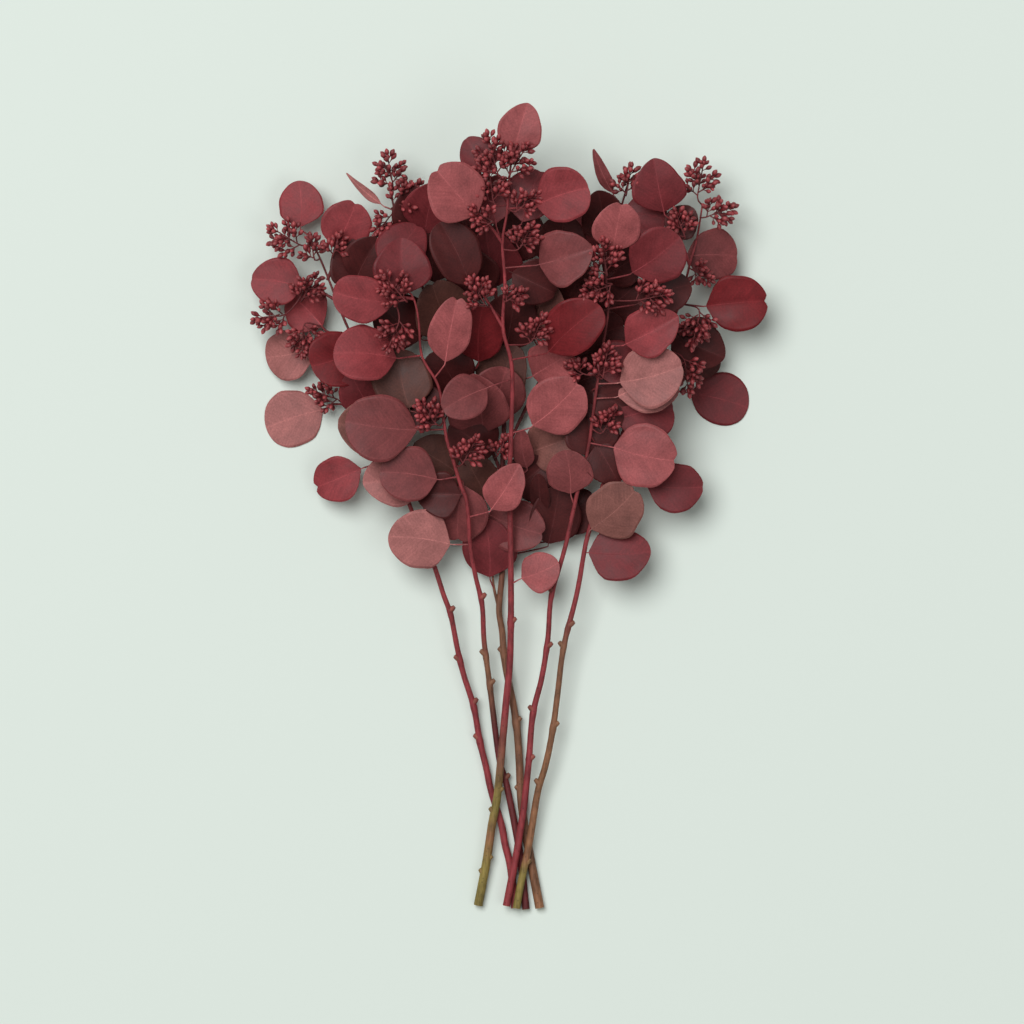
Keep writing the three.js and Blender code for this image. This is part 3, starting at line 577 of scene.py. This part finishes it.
def leaf_stalk(leaf, number, pose):
    """The rod of a leaf's stalk, which starts in the wood and runs on over the blade as its midrib."""
    up = pose.along.cross(pose.side)
    rib = []
    for k in range(RIB_POINTS):
        share = RIB_END * k / (RIB_POINTS - 1)
        fall = pose.arch * leaf.length * (2 * share - 1) ** 2
        aside = BLADE_SWEEP * wobble(number, SWEEP) * leaf.length * 4 * share * (1 - share)
        spot = pose.middle + pose.along * (share - 0.5) * leaf.length + pose.side * aside
        rib.append(spot + up * (BLADE_THICKNESS * RIB_HEIGHT - fall))
    foot = rib[0] - pose.along * STALK_LEAD
    foot.z = max(foot.z, STALK_RADIUS[1] + STALK_CLEARANCE)
    rib[0].z = max(rib[0].z, STALK_RADIUS[1] / 2)
    bow = (pose.root + foot) / 2 + up * STALK_BOW
    line = centre_line([pose.root, bow, foot, *rib], STALK_STEP)
    blade_start = next(k for k, place in enumerate(line) if (place - rib[0]).length < STALK_STEP)
    tone = LEAF_TONES[leaf.tone]
    stalk_colour = [mix(a, b, 0.5) for a, b in zip(BARK_TONES["red"], tone)]
    rib_colour = [value * RIB_LIGHT + RIB_LIFT for value in tone]
    stalk = []
    for k, place in enumerate(line[:blade_start]):
        stalk.append((place, mix(*STALK_RADIUS, k / blade_start), stalk_colour))
    last = len(line) - 1 - blade_start
    for k, place in enumerate(line[blade_start:]):
        stalk.append((place, mix(*RIB_RADIUS, (k / last) ** RIB_THINNING), rib_colour))
    return stalk


def vector_node(tree, operation, *vectors):
    """The output of a node that works on vectors."""
    return add_node(tree, "ShaderNodeVectorMath", dict(enumerate(vectors)), operation=operation).outputs[0]


def place_node(tree, x, y, z):
    """The output of a node that puts three values together to a vector."""
    return add_node(tree, "ShaderNodeCombineXYZ", {0: x, 1: y, 2: z}).outputs[0]


def stored(tree, geometry, name, kind, value):
    """The output of a node that keeps a named value on the points."""
    inputs = {"Geometry": geometry, "Name": name, "Value": value}
    node = add_node(tree, "GeometryNodeStoreNamedAttribute", inputs, data_type=kind, domain="POINT")
    return node.outputs[0]


def shaped(tree, value, points):
    """The output of a node with a smooth curve through the points."""
    node = add_node(tree, "ShaderNodeFloatCurve", {"Value": value})
    curve = node.mapping.curves[0]
    curve.points[0].location = points[0]
    curve.points[1].location = points[-1]
    for point in points[1:-1]:
        curve.points.new(*point)
    node.mapping.update()
    return node.outputs[0]


def blended(tree, share, first, second):
    """The output of a node that mixes two colours, by the share of the second one."""
    inputs = {"Factor": share, "A": first, "B": second}
    return add_node(tree, "ShaderNodeMix", inputs, data_type="VECTOR").outputs[1]


# The tree that turns points into leaf blades. First each point becomes a flat sheet.
leaf_inputs = {
    "Thickness": "NodeSocketFloat",
    "Ripple height": "NodeSocketFloat",
    "Points across": "NodeSocketInt",
    "Points along": "NodeSocketInt",
    "Material": "NodeSocketMaterial",
}
leaf_tree, given, leaf_keys = new_tree("leaf_blades", leaf_inputs)
leaf_sum = partial(sum_node, leaf_tree)
leaf_value = partial(read_node, leaf_tree)
here = add_node(leaf_tree, "GeometryNodeInputPosition").outputs[0]
spots = stored(leaf_tree, given.outputs["Geometry"], "middle", "FLOAT_VECTOR", here)
grid_inputs = {
    "Size X": 2.0,
    "Size Y": 1.0,
    "Vertices X": given.outputs["Points across"],
    "Vertices Y": given.outputs["Points along"],
}
grid = add_node(leaf_tree, "GeometryNodeMeshGrid", grid_inputs)
grid_place = add_node(leaf_tree, "ShaderNodeSeparateXYZ", {0: here})
blank = stored(leaf_tree, grid.outputs[0], "across", "FLOAT", grid_place.outputs[0])
blank = stored(leaf_tree, blank, "way", "FLOAT", leaf_sum("ADD", grid_place.outputs[1], 0.5))
scatter = add_node(leaf_tree, "GeometryNodeInstanceOnPoints", {"Points": spots, "Instance": blank})
blanks = add_node(leaf_tree, "GeometryNodeRealizeInstances", {"Geometry": scatter.outputs[0]}).outputs[0]

# The leaf's own values, and the share of the length, which has finer steps near base and tip
across = leaf_value("across", "FLOAT")
way = leaf_value("way", "FLOAT")
length = leaf_value("length", "FLOAT")
half_width = leaf_sum("MULTIPLY", leaf_value("width", "FLOAT"), 0.5)
along = leaf_value("along", "FLOAT_VECTOR")
side = leaf_value("side", "FLOAT_VECTOR")
number = leaf_value("leaf_number", "FLOAT")
up = vector_node(leaf_tree, "CROSS_PRODUCT", along, side)
turned = leaf_sum("COSINE", leaf_sum("MULTIPLY", way, math.pi))
share = leaf_sum("MULTIPLY_ADD", turned, -0.5, 0.5)

# The outline: round, a little wavy on each side, fuller at one end and more or less pointed
edge_side = leaf_sum("MULTIPLY", leaf_sum("SIGN", across), SIDE_SHIFT)
wave_place = place_node(leaf_tree, edge_side, share, leaf_sum("MULTIPLY", number, WAVE_SHIFT))
wave = leaf_sum("SUBTRACT", noise(leaf_tree, wave_place, WAVE_GRAIN, 1.0), 0.5)
uneven = leaf_sum("MULTIPLY", wave, OUTLINE_WAVE * 2)
taper = leaf_sum("MULTIPLY", leaf_sum("SUBTRACT", 0.5, share), leaf_value("taper", "FLOAT"))
point = leaf_value("point", "FLOAT")
narrowing = leaf_sum("POWER", leaf_sum("SUBTRACT", TIP_END, share), leaf_sum("MULTIPLY", point, 0.5))
narrowing = leaf_sum("MULTIPLY", narrowing, leaf_sum("MULTIPLY_ADD", point, POINT_FILL, 1.0))
fullness = leaf_sum("MULTIPLY", leaf_sum("ADD", leaf_sum("ADD", uneven, taper), 1.0), narrowing)
outline = shaped(leaf_tree, way, BLADE_HALF_WIDTH)
spread = leaf_sum("MULTIPLY", leaf_sum("MULTIPLY", across, outline), fullness)
belly = leaf_sum("MULTIPLY", leaf_sum("MULTIPLY", share, leaf_sum("SUBTRACT", 1.0, share)), 4.0)
sweep = leaf_sum("MULTIPLY", leaf_sum("MULTIPLY", belly, length), leaf_value("sweep", "FLOAT"))
from_rib = leaf_sum("MULTIPLY", spread, half_width)
x_here = leaf_sum("ADD", from_rib, sweep)
dent_place = leaf_sum("POWER", leaf_sum("DIVIDE", spread, NOTCH_WIDTH), 2.0)
dent = leaf_sum("EXPONENT", leaf_sum("MULTIPLY", dent_place, -1.0))
dent = leaf_sum("MULTIPLY", dent, leaf_sum("POWER", share, NOTCH_END))
dent = leaf_sum("MULTIPLY", dent, leaf_value("notch", "FLOAT"))
y_here = leaf_sum("MULTIPLY", leaf_sum("SUBTRACT", leaf_sum("MULTIPLY", turned, -0.5), dent), length)

# The bend: cupped from side to side, arched from base to tip, and rippled towards the edge
edge = leaf_sum("ABSOLUTE", spread)
cup = leaf_sum("MULTIPLY", leaf_sum("MULTIPLY", edge, half_width), leaf_value("cup", "FLOAT"))
arch = leaf_sum("MULTIPLY", leaf_sum("MULTIPLY", turned, turned), length)
arch = leaf_sum("MULTIPLY", arch, leaf_value("arch", "FLOAT"))
ripple_place = place_node(leaf_tree, spread, share, leaf_sum("MULTIPLY", number, RIPPLE_SHIFT))
ripple = leaf_sum("SUBTRACT", noise(leaf_tree, ripple_place, RIPPLE_GRAIN, 1.0), 0.5)
ripple = leaf_sum("MULTIPLY", ripple, given.outputs["Ripple height"])
ripple = leaf_sum("MULTIPLY", ripple, leaf_sum("MULTIPLY", edge, leaf_value("loose", "FLOAT")))
bend = leaf_sum("ADD", leaf_sum("SUBTRACT", cup, arch), ripple)
bend = leaf_sum("SUBTRACT", bend, leaf_sum("MULTIPLY", given.outputs["Thickness"], 0.5))

# The lower face goes to its place, and the upper face and the rim are drawn up from it
spot = vector_node(leaf_tree, "ADD", leaf_value("middle", "FLOAT_VECTOR"), scaled(leaf_tree, along, y_here))
spot = vector_node(leaf_tree, "ADD", spot, scaled(leaf_tree, side, x_here))
spot = vector_node(leaf_tree, "ADD", spot, scaled(leaf_tree, up, bend))
blade_place = place_node(leaf_tree, from_rib, y_here, number)
blades = stored(leaf_tree, blanks, "blade_place", "FLOAT_VECTOR", blade_place)
blades = stored(leaf_tree, blades, "edge", "FLOAT", leaf_sum("ABSOLUTE", across))
lower = add_node(leaf_tree, "GeometryNodeSetPosition", {"Geometry": blades, "Position": spot}).outputs[0]
upper_inputs = {
    "Mesh": lower,
    "Offset": scaled(leaf_tree, up, given.outputs["Thickness"]),
    "Offset Scale": 1.0,
    "Individual": False,
}
upper = add_node(leaf_tree, "GeometryNodeExtrudeMesh", upper_inputs)
top = stored(leaf_tree, upper.outputs[0], "upper", "FLOAT", upper.outputs["Top"])
under = add_node(leaf_tree, "GeometryNodeFlipFaces", {"Mesh": lower}).outputs[0]
both = add_node(leaf_tree, "GeometryNodeJoinGeometry")
leaf_tree.links.new(top, both.inputs[0])
leaf_tree.links.new(under, both.inputs[0])
whole_inputs = {"Geometry": both.outputs[0], "Distance": WELD_GAP}
whole = add_node(leaf_tree, "GeometryNodeMergeByDistance", whole_inputs)
close_tree(leaf_tree, given, whole.outputs[0])

# Leaf skin: the leaf's own tone, cloudy and streaked, with a pale edge, midrib and fine side veins and one
# vein that follows the edge. The underside has a dull, pale bloom.
CLOUD_GRAIN = 55.0
SPECK_GRAIN = 700.0
STREAK_GRAIN = 420.0
STREAK_STRETCH = 0.16
PATTERN_SHIFT = 0.37  # keeps the patterns of the leaves apart
VEIN_SPACING = 3.4
VEIN_SLOPE = 0.95
VEIN_BEND = 0.8
VEIN_RELIEF = 1.5
EDGE_VEIN = 0.9  # place of the vein along the edge, as a share of the way out from the midrib
RIB_GLOW = 1.5  # width of the paler strip beside the midrib
PALE_LIFT = 1.75  # veins and edge are this many times as light as the blade
UNDERSIDE_BLOOM = (0.30, 0.17, 0.15)
BLOOM_SHARE = 0.4
skin, nodes, shader = new_material("eucalyptus_leaf")
skin_sum = partial(sum_node, nodes)
place = add_node(nodes, "ShaderNodeSeparateXYZ", {0: mesh_value(nodes, "blade_place", "Vector")})
shift = skin_sum("MULTIPLY", place.outputs[2], PATTERN_SHIFT)
pattern_place = place_node(nodes, place.outputs[0], place.outputs[1], shift)
cloud = noise(nodes, pattern_place, CLOUD_GRAIN, 5.0, 0.6)
speck = noise(nodes, pattern_place, SPECK_GRAIN, 3.0)
from_rib = skin_sum("ABSOLUTE", place.outputs[0])
vein_run = skin_sum("SUBTRACT", place.outputs[1], skin_sum("MULTIPLY", from_rib, VEIN_SLOPE))
along_veins = place_node(nodes, skin_sum("MULTIPLY", place.outputs[0], STREAK_STRETCH), vein_run, shift)
streak = noise(nodes, along_veins, STREAK_GRAIN, 3.0, 0.6)
shade = skin_sum(
    "MULTIPLY",
    ranged(nodes, cloud, (0.25, 0.75), (0.72, 1.28)),
    ranged(nodes, speck, (0.3, 0.7), (0.84, 1.16)),
)
shade = skin_sum("MULTIPLY", shade, ranged(nodes, streak, (0.28, 0.72), (0.88, 1.12)))
base = scaled(nodes, mesh_value(nodes, "leaf_colour", "Color"), shade)
vein_turn = skin_sum("DIVIDE", vein_run, VEIN_SPACING * MM)
vein_turn = skin_sum("ADD", vein_turn, skin_sum("MULTIPLY", cloud, VEIN_BEND))
vein = ranged(nodes, skin_sum("PINGPONG", vein_turn, 0.5), (0.0, 0.09), (0.12, 0.0))
rim = mesh_value(nodes, "edge", "Fac")
margin = ranged(nodes, rim, (0.955, 1.0), (0.0, 0.4))
rib_glow = ranged(nodes, from_rib, (0.0, RIB_GLOW * MM), (0.25, 0.0))
from_edge_vein = skin_sum("ABSOLUTE", skin_sum("SUBTRACT", rim, EDGE_VEIN))
edge_vein = ranged(nodes, from_edge_vein, (0.0, 0.022), (0.24, 0.0))
pale = skin_sum("MAXIMUM", margin, rib_glow)
pale = skin_sum("MAXIMUM", pale, edge_vein)
pale = skin_sum("MAXIMUM", pale, vein)
veined = blended(nodes, pale, base, scaled(nodes, base, PALE_LIFT))
below = skin_sum("SUBTRACT", 1.0, mesh_value(nodes, "upper", "Fac"))
finished = blended(nodes, skin_sum("MULTIPLY", below, BLOOM_SHARE), veined, UNDERSIDE_BLOOM)
nodes.links.new(finished, shader.inputs["Base Color"])
nodes.links.new(ranged(nodes, cloud, (0.3, 0.7), (0.44, 0.6)), shader.inputs["Roughness"])
shader.inputs["Specular IOR Level"].default_value = 0.22
height = skin_sum("ADD", skin_sum("MULTIPLY", vein, VEIN_RELIEF), speck)
relief = add_node(nodes, "ShaderNodeBump", {"Height": height, "Strength": 0.25, "Distance": 0.3 * MM})
nodes.links.new(relief.outputs[0], shader.inputs["Normal"])

for branch, rows in LEAVES.items():
    leaves = [Leaf(*row) for row in rows]
    numbers = range(len(leaves))
    poses = [leaf_pose(leaf, k, wood_lines[branch]) for k, leaf in enumerate(leaves)]
    mesh = bpy.data.meshes.new(f"{branch}_leaves")
    mesh.from_pydata([pose.middle * MM for pose in poses], [], [])
    leaf_values = {
        "length": [leaf.length * MM for leaf in leaves],
        "width": [leaf.width * MM for leaf in leaves],
        "cup": [pose.cup for pose in poses],
        "arch": [pose.arch for pose in poses],
        "notch": [NOTCH_DEPTH * max(0.0, wobble(k, NOTCH) + NOTCH_LEAN) for k in numbers],
        "sweep": [BLADE_SWEEP * wobble(k, SWEEP) for k in numbers],
        "taper": [BLADE_TAPER * (wobble(k, TAPER) + TAPER_LEAN) for k in numbers],
        "point": [tip_point(leaf, k) for k, leaf in enumerate(leaves)],
        "loose": [0.0 if leaf.z == FLAT else 1.0 for leaf in leaves],
        "leaf_number": [float(k + NUMBER_GAP * len(leaves)) for k in numbers],
    }
    for name, values in leaf_values.items():
        mesh.attributes.new(name, "FLOAT", "POINT").data.foreach_set("value", values)
    for name in ("along", "side"):
        values = [value for pose in poses for value in getattr(pose, name)]
        mesh.attributes.new(name, "FLOAT_VECTOR", "POINT").data.foreach_set("vector", values)
    colours = [value for leaf in leaves for value in (*LEAF_TONES[leaf.tone], 1.0)]
    mesh.attributes.new("leaf_colour", "FLOAT_COLOR", "POINT").data.foreach_set("color", colours)
    values = {
        "Thickness": BLADE_THICKNESS * MM,
        "Ripple height": RIPPLE_HEIGHT * MM,
        "Points across": POINTS_ACROSS,
        "Points along": POINTS_ALONG,
        "Material": skin,
    }
    grown_piece(f"{branch}_leaves", branch, mesh, leaf_tree, leaf_keys, values)
    stalks = [leaf_stalk(leaf, k, pose) for k, (leaf, pose) in enumerate(zip(leaves, poses))]
    mesh = lines_mesh(f"{branch}_leaf_stalks", stalks)
    values = {"Sides": STALK_SIDES, "Bump height": 0.0, "Bump grain": BARK_GRAIN, "Material": bark}
    grown_piece(f"{branch}_leaf_stalks", branch, mesh, rod_tree, rod_keys, values)

# Bud sprays
# Flower buds in small umbels on a branching, thread-thin axis that grows out of the wood beside the leaves.
# A bud is a hard little egg about 4 mm thick on a short pedicel, wine red and paler at its cap, the paler cap
# partly painted highlight.
# Rows: x, y, z of the spray's middle in millimetres, heading in degrees from +X, size.
SPRAYS = {
    "branch_front": [
        (-11, 278, 97, 105, 24), (5, 275, 98, 60, 20), (-17.6, 233, 99, 150, 14), (11, 243, 96, 40, 14),
        (11, 215, 92, 60, 15), (-22.4, 171, 81, 120, 17), (20, 141, 80, 60, 15), (1.6, 170, 82, 30, 11),
        (-13, 254, 94, 100, 20),
    ],
    "branch_left_centre": [
        (-88, 175, 80, 130, 20), (-90.4, 145, 82, 250, 18), (-61.6, 75, 63, 130, 15),
        (-33.6, 45, 57, 60, 16),
    ],
    "branch_right_centre": [
        (76, 200, 88, 100, 24), (74, 178, 84, 200, 17), (109.6, 170, 82, 10, 20), (76, 115, 72, 80, 17),
        (77.6, 69, 60, 60, 14), (56.8, 112, 66, 150, 9),
    ],
    "branch_right": [
        (152.8, 262, 40, 80, 20), (164.8, 239, 38, 20, 16), (138.4, 226, 50, 110, 15),
        (150.4, 192, 42, 330, 12), (150.4, 152, 46, 260, 20), (140.8, 114, 44, 280, 20),
    ],
    "branch_left": [
        (-175.2, 219, 30, 150, 20), (-156.8, 208, 36, 100, 12), (-139.2, 210, 48, 70, 11),
        (-187.2, 158, 30, 190, 18), (-162.4, 176, 36, 60, 17), (-164.8, 142, 30, 265, 18),
        (-144.8, 93, 16, 160, 16),
    ],
    "branch_back": [
        (-94.4, 269, 42, 100, 18), (-85.6, 250, 50, 40, 20), (-97.6, 234, 44, 230, 14),
        (95.2, 261, 48, 80, 15), (-7.2, 49, 36, 60, 10),
    ],
}
AXIS_RADIUS = (0.7, 0.5)
AXIS_SIDES = 6
AXIS_BEFORE = 0.5  # length of the axis before and past the spray's middle, as shares of the size
AXIS_PAST = 0.45
FEWEST_SHOOTS = 2
SHOOT_SPACING = 2.7
SHOOT_RISE = 0.6  # how far the side shoots stand up and down, as a share of how far they stand out
PEDUNCLE_RADIUS = (0.55, 0.45)
PEDUNCLE_SHARE = (0.55, 0.35)  # length near the wood and near the end, as shares of the size
LAST_PEDUNCLE_SHARE = 0.3
PEDUNCLE_FORWARD = 0.6  # lean towards the end of the spray
PEDUNCLE_RISE = 0.12
PEDUNCLE_BOW = 0.4
UMBEL_PLACES = (0.45, 1.0)  # shares of the way along a peduncle
GOLDEN_ANGLE = math.radians(137.5)
BUDS_IN_UMBEL = 4
BUD_FAN = 1.1  # how far the outer buds of an umbel lean out: 0 is straight on
BUD_LENGTH = 9.4  # with its pedicel
BUD_RADIUS = 1.95
BUD_SIDES = 7
BUD_RINGS = 9
BUD_PROFILE = [
    # way from the pedicel's root to the cap's point, share of the bud's radius there
    (0.0, 0.2), (0.3, 0.2), (0.42, 0.5), (0.57, 0.9), (0.7, 1.0), (0.83, 0.8), (0.94, 0.42), (1.0, 0.08),
]
SPIN_LIMITS = (-0.45, 0.45)
FAN_LIMITS = (0.6, 1.4)
SIZE_LIMITS = (0.75, 1.1)
SHADE_LIMITS = (0.7, 1.35)
NEARLY_UP = (0.12, 0.2, 1.0)  # a direction that no peduncle has
BUD_TONE = (0.150, 0.015, 0.019)
# pale cap tone: partly the cap's own colour, partly a painted highlight on the bud tips
BUD_CAP_AND_HIGHLIGHT_TONE = (0.335, 0.060, 0.064)
BUD_CLOUD_GRAIN = 420.0
CAP_UNEVENNESS = 0.3
STALK_TONE = (0.130, 0.022, 0.024)

# The tree that fans buds out from the crown of each umbel
bud_inputs = {
    "Buds in umbel": "NodeSocketInt",
    "Bud length": "NodeSocketFloat",
    "Bud radius": "NodeSocketFloat",
    "Fan": "NodeSocketFloat",
    "Sides": "NodeSocketInt",
    "Seed": "NodeSocketInt",
    "Material": "NodeSocketMaterial",
}
bud_tree, given, bud_keys = new_tree("bud_umbels", bud_inputs)
bud_sum = partial(sum_node, bud_tree)
bud_vector = partial(vector_node, bud_tree)


def bud_random(limits, salt):
    """The output of a node that gives each bud its own value between two limits."""
    seed = bud_sum("ADD", given.outputs["Seed"], salt)
    inputs = {2: limits[0], 3: limits[1], "Seed": seed}
    return add_node(bud_tree, "FunctionNodeRandomValue", inputs, data_type="FLOAT").outputs[1]


# One bud: a slim pedicel that swells to an egg with a pointed cap
stick = add_node(bud_tree, "GeometryNodeCurvePrimitiveLine", {"End": (0.0, 0.0, 1.0)})
stick = add_node(bud_tree, "GeometryNodeResampleCurve", {"Curve": stick.outputs[0], "Count": BUD_RINGS})
bud_way = add_node(bud_tree, "GeometryNodeSplineParameter").outputs["Factor"]
stick = stored(bud_tree, stick.outputs[0], "bud_way", "FLOAT", bud_way)
slimness = bud_sum("DIVIDE", given.outputs["Bud radius"], given.outputs["Bud length"])
girth = bud_sum("MULTIPLY", shaped(bud_tree, bud_way, BUD_PROFILE), slimness)
bud_shape = tube(bud_tree, stick, girth, given.outputs["Sides"])

# The umbel: one bud straight on and the others fanned out around it
crown_inputs = {"Geometry": given.outputs["Geometry"], "Amount": given.outputs["Buds in umbel"]}
crowns = add_node(bud_tree, "GeometryNodeDuplicateElements", crown_inputs, domain="POINT")
bud_number = crowns.outputs["Duplicate Index"]
outward = read_node(bud_tree, "outward", "FLOAT_VECTOR")
sideways = bud_vector("NORMALIZE", bud_vector("CROSS_PRODUCT", outward, NEARLY_UP))
over = bud_vector("CROSS_PRODUCT", outward, sideways)
around = bud_sum("SUBTRACT", given.outputs["Buds in umbel"], 1.0)
spin = bud_sum("DIVIDE", bud_sum("MULTIPLY", bud_number, 2 * math.pi), around)
spin = bud_sum("ADD", spin, bud_random(SPIN_LIMITS, 1))
fan = bud_sum("MULTIPLY", given.outputs["Fan"], bud_random(FAN_LIMITS, 2))
fan = bud_sum("MULTIPLY", fan, bud_sum("MINIMUM", bud_number, 1.0))
lean_sideways = scaled(bud_tree, sideways, bud_sum("MULTIPLY", bud_sum("COSINE", spin), fan))
lean_over = scaled(bud_tree, over, bud_sum("MULTIPLY", bud_sum("SINE", spin), fan))
aim = bud_vector("ADD", outward, bud_vector("ADD", lean_sideways, lean_over))
turn = add_node(bud_tree, "FunctionNodeAlignRotationToVector", {"Vector": aim}, axis="Z").outputs[0]
size = bud_sum("MULTIPLY", given.outputs["Bud length"], bud_random(SIZE_LIMITS, 3))
crown_points = stored(bud_tree, crowns.outputs[0], "bud_shade", "FLOAT", bud_random(SHADE_LIMITS, 4))
umbel_inputs = {"Points": crown_points, "Instance": bud_shape, "Rotation": turn, "Scale": size}
umbels = add_node(bud_tree, "GeometryNodeInstanceOnPoints", umbel_inputs)
close_tree(bud_tree, given, umbels.outputs[0])

# Bud skin: wine red, paler and rosy towards the cap (partly the bud's own colour, partly painted highlight),
# each bud a little lighter or darker
bud_skin, nodes, shader = new_material("eucalyptus_bud")
place = add_node(nodes, "ShaderNodeTexCoord").outputs["Object"]
cloud = noise(nodes, place, BUD_CLOUD_GRAIN, 3.0)
uneven = sum_node(nodes, "MULTIPLY", cloud, CAP_UNEVENNESS)
cap_way = sum_node(nodes, "ADD", mesh_value(nodes, "bud_way", "Fac"), uneven)
# blends towards the pale cap tone, which is partly painted highlight
tone = blended(nodes, ranged(nodes, cap_way, (0.7, 1.15), (0.0, 1.0)), BUD_TONE, BUD_CAP_AND_HIGHLIGHT_TONE)
shade = ranged(nodes, cloud, (0.3, 0.7), (0.8, 1.2))
shade = sum_node(nodes, "MULTIPLY", mesh_value(nodes, "bud_shade", "Fac"), shade)
nodes.links.new(scaled(nodes, tone, shade), shader.inputs["Base Color"])
shader.inputs["Roughness"].default_value = 0.5
shader.inputs["Specular IOR Level"].default_value = 0.4


def bud_stalk(points, radius):
    """A rod through the points, with its radius at the start and at the end."""
    line = centre_line(points, STALK_STEP)
    last = len(line) - 1
    return [(place, mix(*radius, k / last), STALK_TONE) for k, place in enumerate(line)]


for seed, (branch, rows) in enumerate(SPRAYS.items()):
    crowns = []
    outwards = []
    stalks = []
    for x, y, z, heading, size in rows:
        turn = math.radians(heading)
        along = Vector((math.cos(turn), math.sin(turn), 0))
        side = Vector((-along.y, along.x, 0))
        start = Vector((x, y, z)) - along * size * AXIS_BEFORE
        end = Vector((x, y, z)) + along * size * AXIS_PAST
        root = nearest_wood(wood_lines[branch], start)
        stalks.append(bud_stalk([root, start, end], AXIS_RADIUS))
        shoots = max(FEWEST_SHOOTS, round(size / SHOOT_SPACING))
        for k in range(shoots):
            last = k == shoots - 1
            share = (k + 0.5) / shoots
            foot = start.lerp(end, 1.0 if last else share)
            spin = k * GOLDEN_ANGLE
            outward = along * PEDUNCLE_FORWARD + Vector((0, 0, PEDUNCLE_RISE))
            if not last:
                outward += side * math.cos(spin) + Vector((0, 0, SHOOT_RISE * math.sin(spin)))
            outward.normalize()
            crown = foot + outward * size * (LAST_PEDUNCLE_SHARE if last else mix(*PEDUNCLE_SHARE, share))
            for way in UMBEL_PLACES:
                crowns.append(foot.lerp(crown, way) * MM)
                outwards.extend(outward)
            bow = foot.lerp(crown, 0.5) + Vector((0, 0, PEDUNCLE_BOW))
            stalks.append(bud_stalk([foot, bow, crown], PEDUNCLE_RADIUS))
    mesh = bpy.data.meshes.new(f"{branch}_buds")
    mesh.from_pydata(crowns, [], [])
    mesh.attributes.new("outward", "FLOAT_VECTOR", "POINT").data.foreach_set("vector", outwards)
    values = {
        "Buds in umbel": BUDS_IN_UMBEL,
        "Bud length": BUD_LENGTH * MM,
        "Bud radius": BUD_RADIUS * MM,
        "Fan": BUD_FAN,
        "Sides": BUD_SIDES,
        "Seed": seed,
        "Material": bud_skin,
    }
    grown_piece(f"{branch}_buds", branch, mesh, bud_tree, bud_keys, values)
    mesh = lines_mesh(f"{branch}_bud_stalks", stalks)
    values = {"Sides": AXIS_SIDES, "Bump height": 0.0, "Bump grain": BARK_GRAIN, "Material": bark}
    grown_piece(f"{branch}_bud_stalks", branch, mesh, rod_tree, rod_keys, values)

# Pale surface, soft light and the camera
# The bunch lies on a pale mint sheet under a large soft light, and the camera looks straight down on it.
# Lengths here are in metres. Only the lens and its sensor are in millimetres, as the program takes them.
SHEET_TONE = (0.716, 0.787, 0.730)
SHEET_SIZE = 6.0
SHEET_DROP = 0.0003  # keeps the sheet just below the lowest leaves
SKY_TONE = (0.97, 1.0, 0.98)
SKY_STRENGTH = 0.2
LIGHTS = [
    # name, place, width, power
    ("key_light", (-2.6, 2.8, 8.4), 6.5, 745.0),
    ("fill_light", (4.0, -2.0, 8.0), 5.0, 95.0),
]
LIGHT_AIM = Vector((0, 0.05, 0))
VIEW_WIDTH = 0.8192  # what the picture takes in at the height of the view plane
VIEW_MIDDLE = (0.0024, 0.0)
VIEW_PLANE = 0.05

half = SHEET_SIZE / 2
mesh = bpy.data.meshes.new("sheet")
corners = [(x * half, y * half, -SHEET_DROP) for x, y in ((-1, -1), (1, -1), (1, 1), (-1, 1))]
mesh.from_pydata(corners, [], [(0, 1, 2, 3)])
sheet = bpy.data.objects.new("sheet", mesh)
bpy.context.scene.collection.objects.link(sheet)
paper, _, shader = new_material("mint_paper")
shader.inputs["Base Color"].default_value = (*SHEET_TONE, 1.0)
shader.inputs["Roughness"].default_value = 0.9
shader.inputs["Specular IOR Level"].default_value = 0.1
mesh.materials.append(paper)

world = bpy.data.worlds.new("studio")
bpy.context.scene.world = world
world.use_nodes = True
sky = world.node_tree.nodes["Background"]
sky.inputs["Color"].default_value = (*SKY_TONE, 1.0)
sky.inputs["Strength"].default_value = SKY_STRENGTH
for name, spot, width, power in LIGHTS:
    lamp = bpy.data.lights.new(name, "AREA")
    lamp.shape = "DISK"
    lamp.size = width
    lamp.energy = power
    light = bpy.data.objects.new(name, lamp)
    light.location = spot
    light.rotation_euler = (LIGHT_AIM - Vector(spot)).to_track_quat("-Z", "Y").to_euler()
    bpy.context.scene.collection.objects.link(light)

lens = bpy.data.cameras.new("camera")
lens.sensor_width = 36.0
lens.lens = 260.0
lens.clip_end = 50.0
camera = bpy.data.objects.new("camera", lens)
camera.location = (*VIEW_MIDDLE, VIEW_PLANE + VIEW_WIDTH * lens.lens / lens.sensor_width)
bpy.context.scene.collection.objects.link(camera)
bpy.context.scene.camera = camera
bpy.context.scene.view_settings.view_transform = "Standard"
